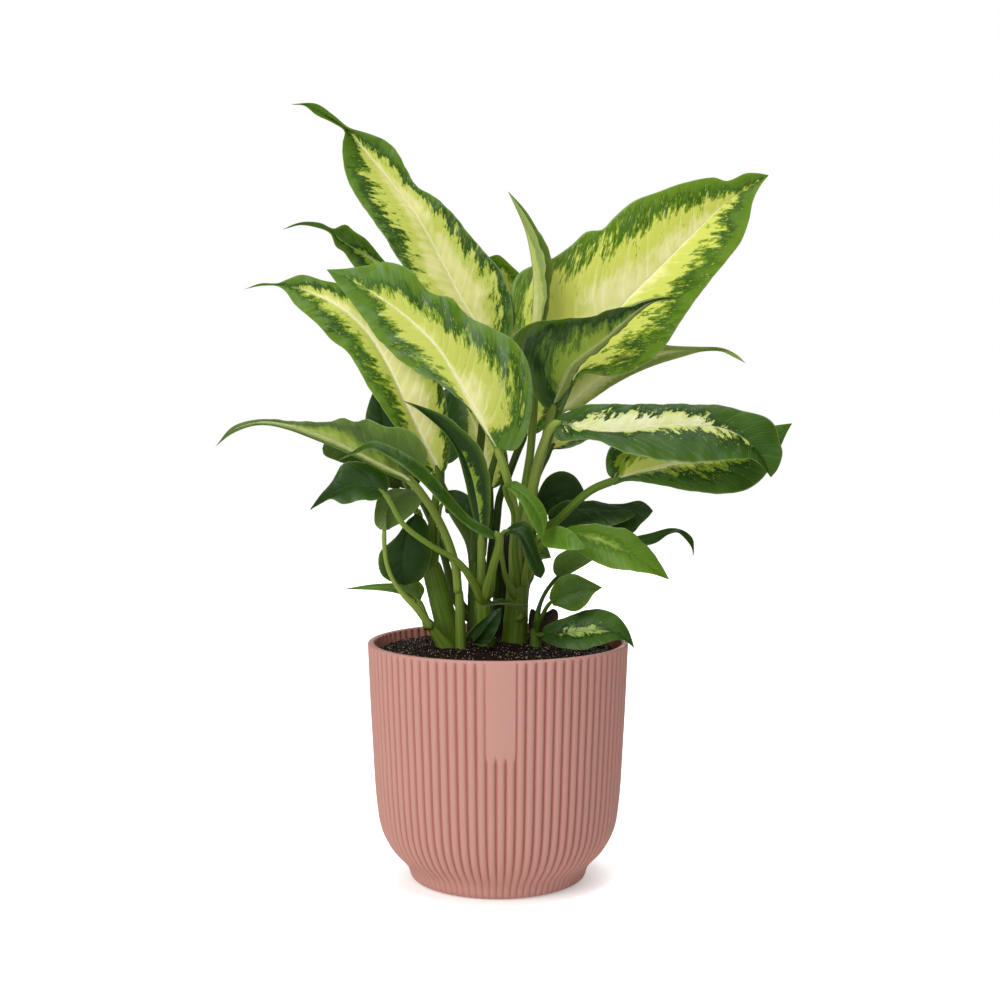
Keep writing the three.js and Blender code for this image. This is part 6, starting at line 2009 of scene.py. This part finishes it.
@dataclass
class Studio:
    """A plain pale floor, a white surround, soft lights and the camera.

    Floor sizes are in mm. The floor has a painted glow: seen straight on, it glows less next to the
    pot, so the pot's shadow shows only there, and comes up to its own white between the two
    distances where the glow rises, in metres; towards the plant it glows dimly and warm, as painted
    bounce light.
    """

    tilt: float = 85.9  # degrees from straight down
    lens: float = 64.04
    sensor: float = 36.0
    clip: Pair = (0.01, 50.0)
    ambient: float = 0.12
    warmth: Colour = (1.05, 0.96, 0.85, 1.0)
    white: Colour = (1.0, 1.0, 1.0, 1.0)
    floor_half: float = 4000.0
    floor_drop: float = 0.05
    floor_pales: tuple[Colour, Colour] = (tint(250, 250, 250), tint(254, 254, 254))
    painted_floor_glows: tuple[Colour, Colour] = ((0.3, 0.32, 0.32, 1.0), (0.9, 0.9, 0.9, 1.0))
    painted_glow_fade: Pair = (0.04, 0.085)
    aim: Triple = (0.0, 0.0, 0.2)
    lamps: tuple[Lamp, ...] = (
        Lamp("Key", (-0.9, -1.1, 1.0), 1.0, 15.5),
        Lamp("Front", (-0.1, -1.5, 0.7), 1.0, 3.6),
        Lamp("Fill", (0.65, -0.85, 1.45), 0.9, 1.4),
        Lamp("Top", (0.1, -0.1, 1.6), 0.9, 8.0),
        Lamp("Back", (0.2, 1.6, 0.8), 1.0, 7.0),
    )

    def build(self) -> None:
        """Builds the floor, the surround, the lights and the camera."""
        self.floor()
        self.surround()
        for lamp in self.lamps:
            self.light(lamp)
        camera = bpy.data.cameras.new("Camera")
        camera.lens, camera.sensor_width = self.lens, self.sensor
        camera.clip_start, camera.clip_end = self.clip
        made = bpy.data.objects.new("Camera", camera)
        made.location = Vector((VIEW_ASIDE, -VIEW_DISTANCE, VIEW_HEIGHT)) * MM
        made.rotation_euler = (math.radians(self.tilt), 0, 0)
        bpy.context.scene.collection.objects.link(made)
        bpy.context.scene.camera = made
        bpy.context.scene.view_settings.view_transform = "Standard"

    def floor(self) -> None:
        """The floor: a wide matt sheet, just under the pot's foot, with a painted glow."""
        skin = Skin()
        corners = [(x, y) for x, y in ((-1, -1), (1, -1), (1, 1), (-1, 1))]
        flat = np.array(corners) * self.floor_half
        skin.add(np.column_stack([flat, np.full(4, -self.floor_drop)]), [(0, 1, 2, 3)])
        material, graph, shader = opened("Floor")
        grain = graph.group(SURFACE_GRAIN, **{"Size": 3.0, "Cloud size": 400.0})
        where = graph.add("ShaderNodeTexCoord").outputs["Object"]
        away = graph.add("ShaderNodeVectorMath", where, operation="LENGTH").outputs["Value"]
        # painted light: the floor glows, weaker next to the pot and full further out, which whitens
        # its shadow away
        glow = graph.mixed(graph.rise(away, *self.painted_glow_fade), *self.painted_floor_glows)
        looked_at = graph.add("ShaderNodeLightPath").outputs["Is Camera Ray"]
        # painted bounce light: the glow that the floor casts on the plant
        painted_bounce_glow = tuple(self.ambient * part for part in self.warmth[:3]) + (1.0,)
        pale = graph.mixed(grain.outputs["Cloud"], *self.floor_pales)
        graph.feed(shader.inputs["Base Color"], pale)
        graph.feed(shader.inputs["Emission Color"], graph.mixed(looked_at, painted_bounce_glow, glow))
        shader.inputs["Emission Strength"].default_value = 1.0
        shader.inputs["Roughness"].default_value = 0.9
        shader.inputs["Specular IOR Level"].default_value = 0.1
        skin.piece("floor", material)

    def surround(self) -> None:
        """A white surround that lights the plant evenly."""
        world = bpy.data.worlds.new("Surround")
        world.use_nodes = True
        graph = Graph(world.node_tree)
        backdrop = world.node_tree.nodes["Background"]
        looked_at = graph.add("ShaderNodeLightPath").outputs["Is Camera Ray"]
        graph.feed(backdrop.inputs["Color"], graph.mixed(looked_at, self.warmth, self.white))
        glow = graph.plus(self.ambient, graph.times(looked_at, 1.0 - self.ambient))
        graph.feed(backdrop.inputs["Strength"], glow)
        bpy.context.scene.world = world

    def light(self, lamp: Lamp) -> None:
        """Hangs one soft light that shines at the plant's middle.

        Args:
            lamp: The light.
        """
        lit = bpy.data.lights.new(lamp.name, "AREA")
        lit.shape, lit.size, lit.energy = "DISK", lamp.width, lamp.power
        made = bpy.data.objects.new(lamp.name, lit)
        made.location = lamp.place
        way = Vector(self.aim) - Vector(lamp.place)
        made.rotation_euler = way.to_track_quat("-Z", "Y").to_euler()
        bpy.context.scene.collection.objects.link(made)


# ---- Assembly --------------------------------------------


OWN_FINISHES: dict[str, LeafFinish] = {
    # painted light: a brightened heart, so the half turned from the key light reads bright
    "leaf_right_large": LeafFinish(
        "Pale-hearted leaf with painted light", lime=tint(214, 222, 100), heart=tint(255, 251, 188), vein_gap=10.5,
    ),
    "leaf_right_level_upper": LeafFinish(
        "White-hearted leaf", green=tint(62, 98, 20), lime=tint(200, 210, 120),
        heart=tint(228, 228, 190),
    ),
    "leaf_right_rim": LeafFinish(
        "Splashed leaf", lime=tint(168, 196, 108), heart=tint(250, 252, 206), streak=1.3, fleck=1.0,
    ),
    "leaf_left_level": LeafFinish(
        "Softly marked leaf", lime=tint(146, 162, 70), heart=tint(198, 200, 124), streak=0.7,
        fleck=0.3, soft=0.12,
    ),
    "leaf_young_upright": LeafFinish("Unrolling leaf", streak=0.6, fleck=0.3, soft=0.15),
    # dark green of its own, with its lime and heart dulled as painted shade for the shaded curl
    "leaf_right_curled": LeafFinish(
        "Curled dark leaf in painted shade", green=tint(50, 86, 16), deep=tint(24, 50, 8), middle=tint(80, 110, 30),
        lime=tint(126, 148, 48), heart=tint(168, 180, 90), soft=0.04,
    ),
    "leaf_right_bright": LeafFinish(
        "Bright leaf", lime=tint(164, 190, 60), streak=0.5, fleck=0.7, soft=0.03,
    ),
}
TONE_FINISHES: dict[Tone, LeafFinish | DryFinish] = {
    Tone.CREAM: LeafFinish("Cream-hearted leaf"),
    Tone.GREEN: LeafFinish("Green leaf"),
    Tone.DARK: LeafFinish(
        "Dark leaf", green=tint(50, 88, 16), deep=tint(25, 52, 7), lime=tint(104, 130, 44),
        soft=0.05, veined=0.02,
    ),
    Tone.DRY: DryFinish(),
}


def place(piece: bpy.types.Object, node: str, slot: str) -> None:
    """Puts a finished piece in the frame in place of its solid.

    Args:
        piece: The piece.
        node: The solid that it stands for.
        slot: The record's material slot; not used.
    """
    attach(piece, "root")
    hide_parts(node)
    log.info("%s: %d faces, stands for %s", piece.name, len(piece.data.polygons), node)


def main() -> None:
    """Builds the studio and the plant."""
    logging.basicConfig(level=logging.INFO, format="%(message)s")
    Studio().build()
    place(Pot().build(PotFinish()), "pot", "pot")
    soil = Soil()
    place(soil.build(SoilFinish()), "soil", "soil")
    stalks = StalkFinish().material()
    for name, plan in SHOOT_PLANS.items():
        own = [leaf for leaf in LEAF_PLANS.values() if leaf.shoot == name]
        place(Shoot(name, plan, own, soil).build(stalks), name, "stem")
    finishes = {tone: finish.material() for tone, finish in TONE_FINISHES.items()}
    for number, (name, plan) in enumerate(LEAF_PLANS.items()):
        look = LOOKS.get(name, TONE_LOOKS[plan.tone])
        own = OWN_FINISHES.get(name)
        finish = own.material() if own else finishes[plan.tone]
        place(Leaf(name, plan, look, number).build(finish), name, plan.tone.value)


if __name__ == "__main__":
    main()
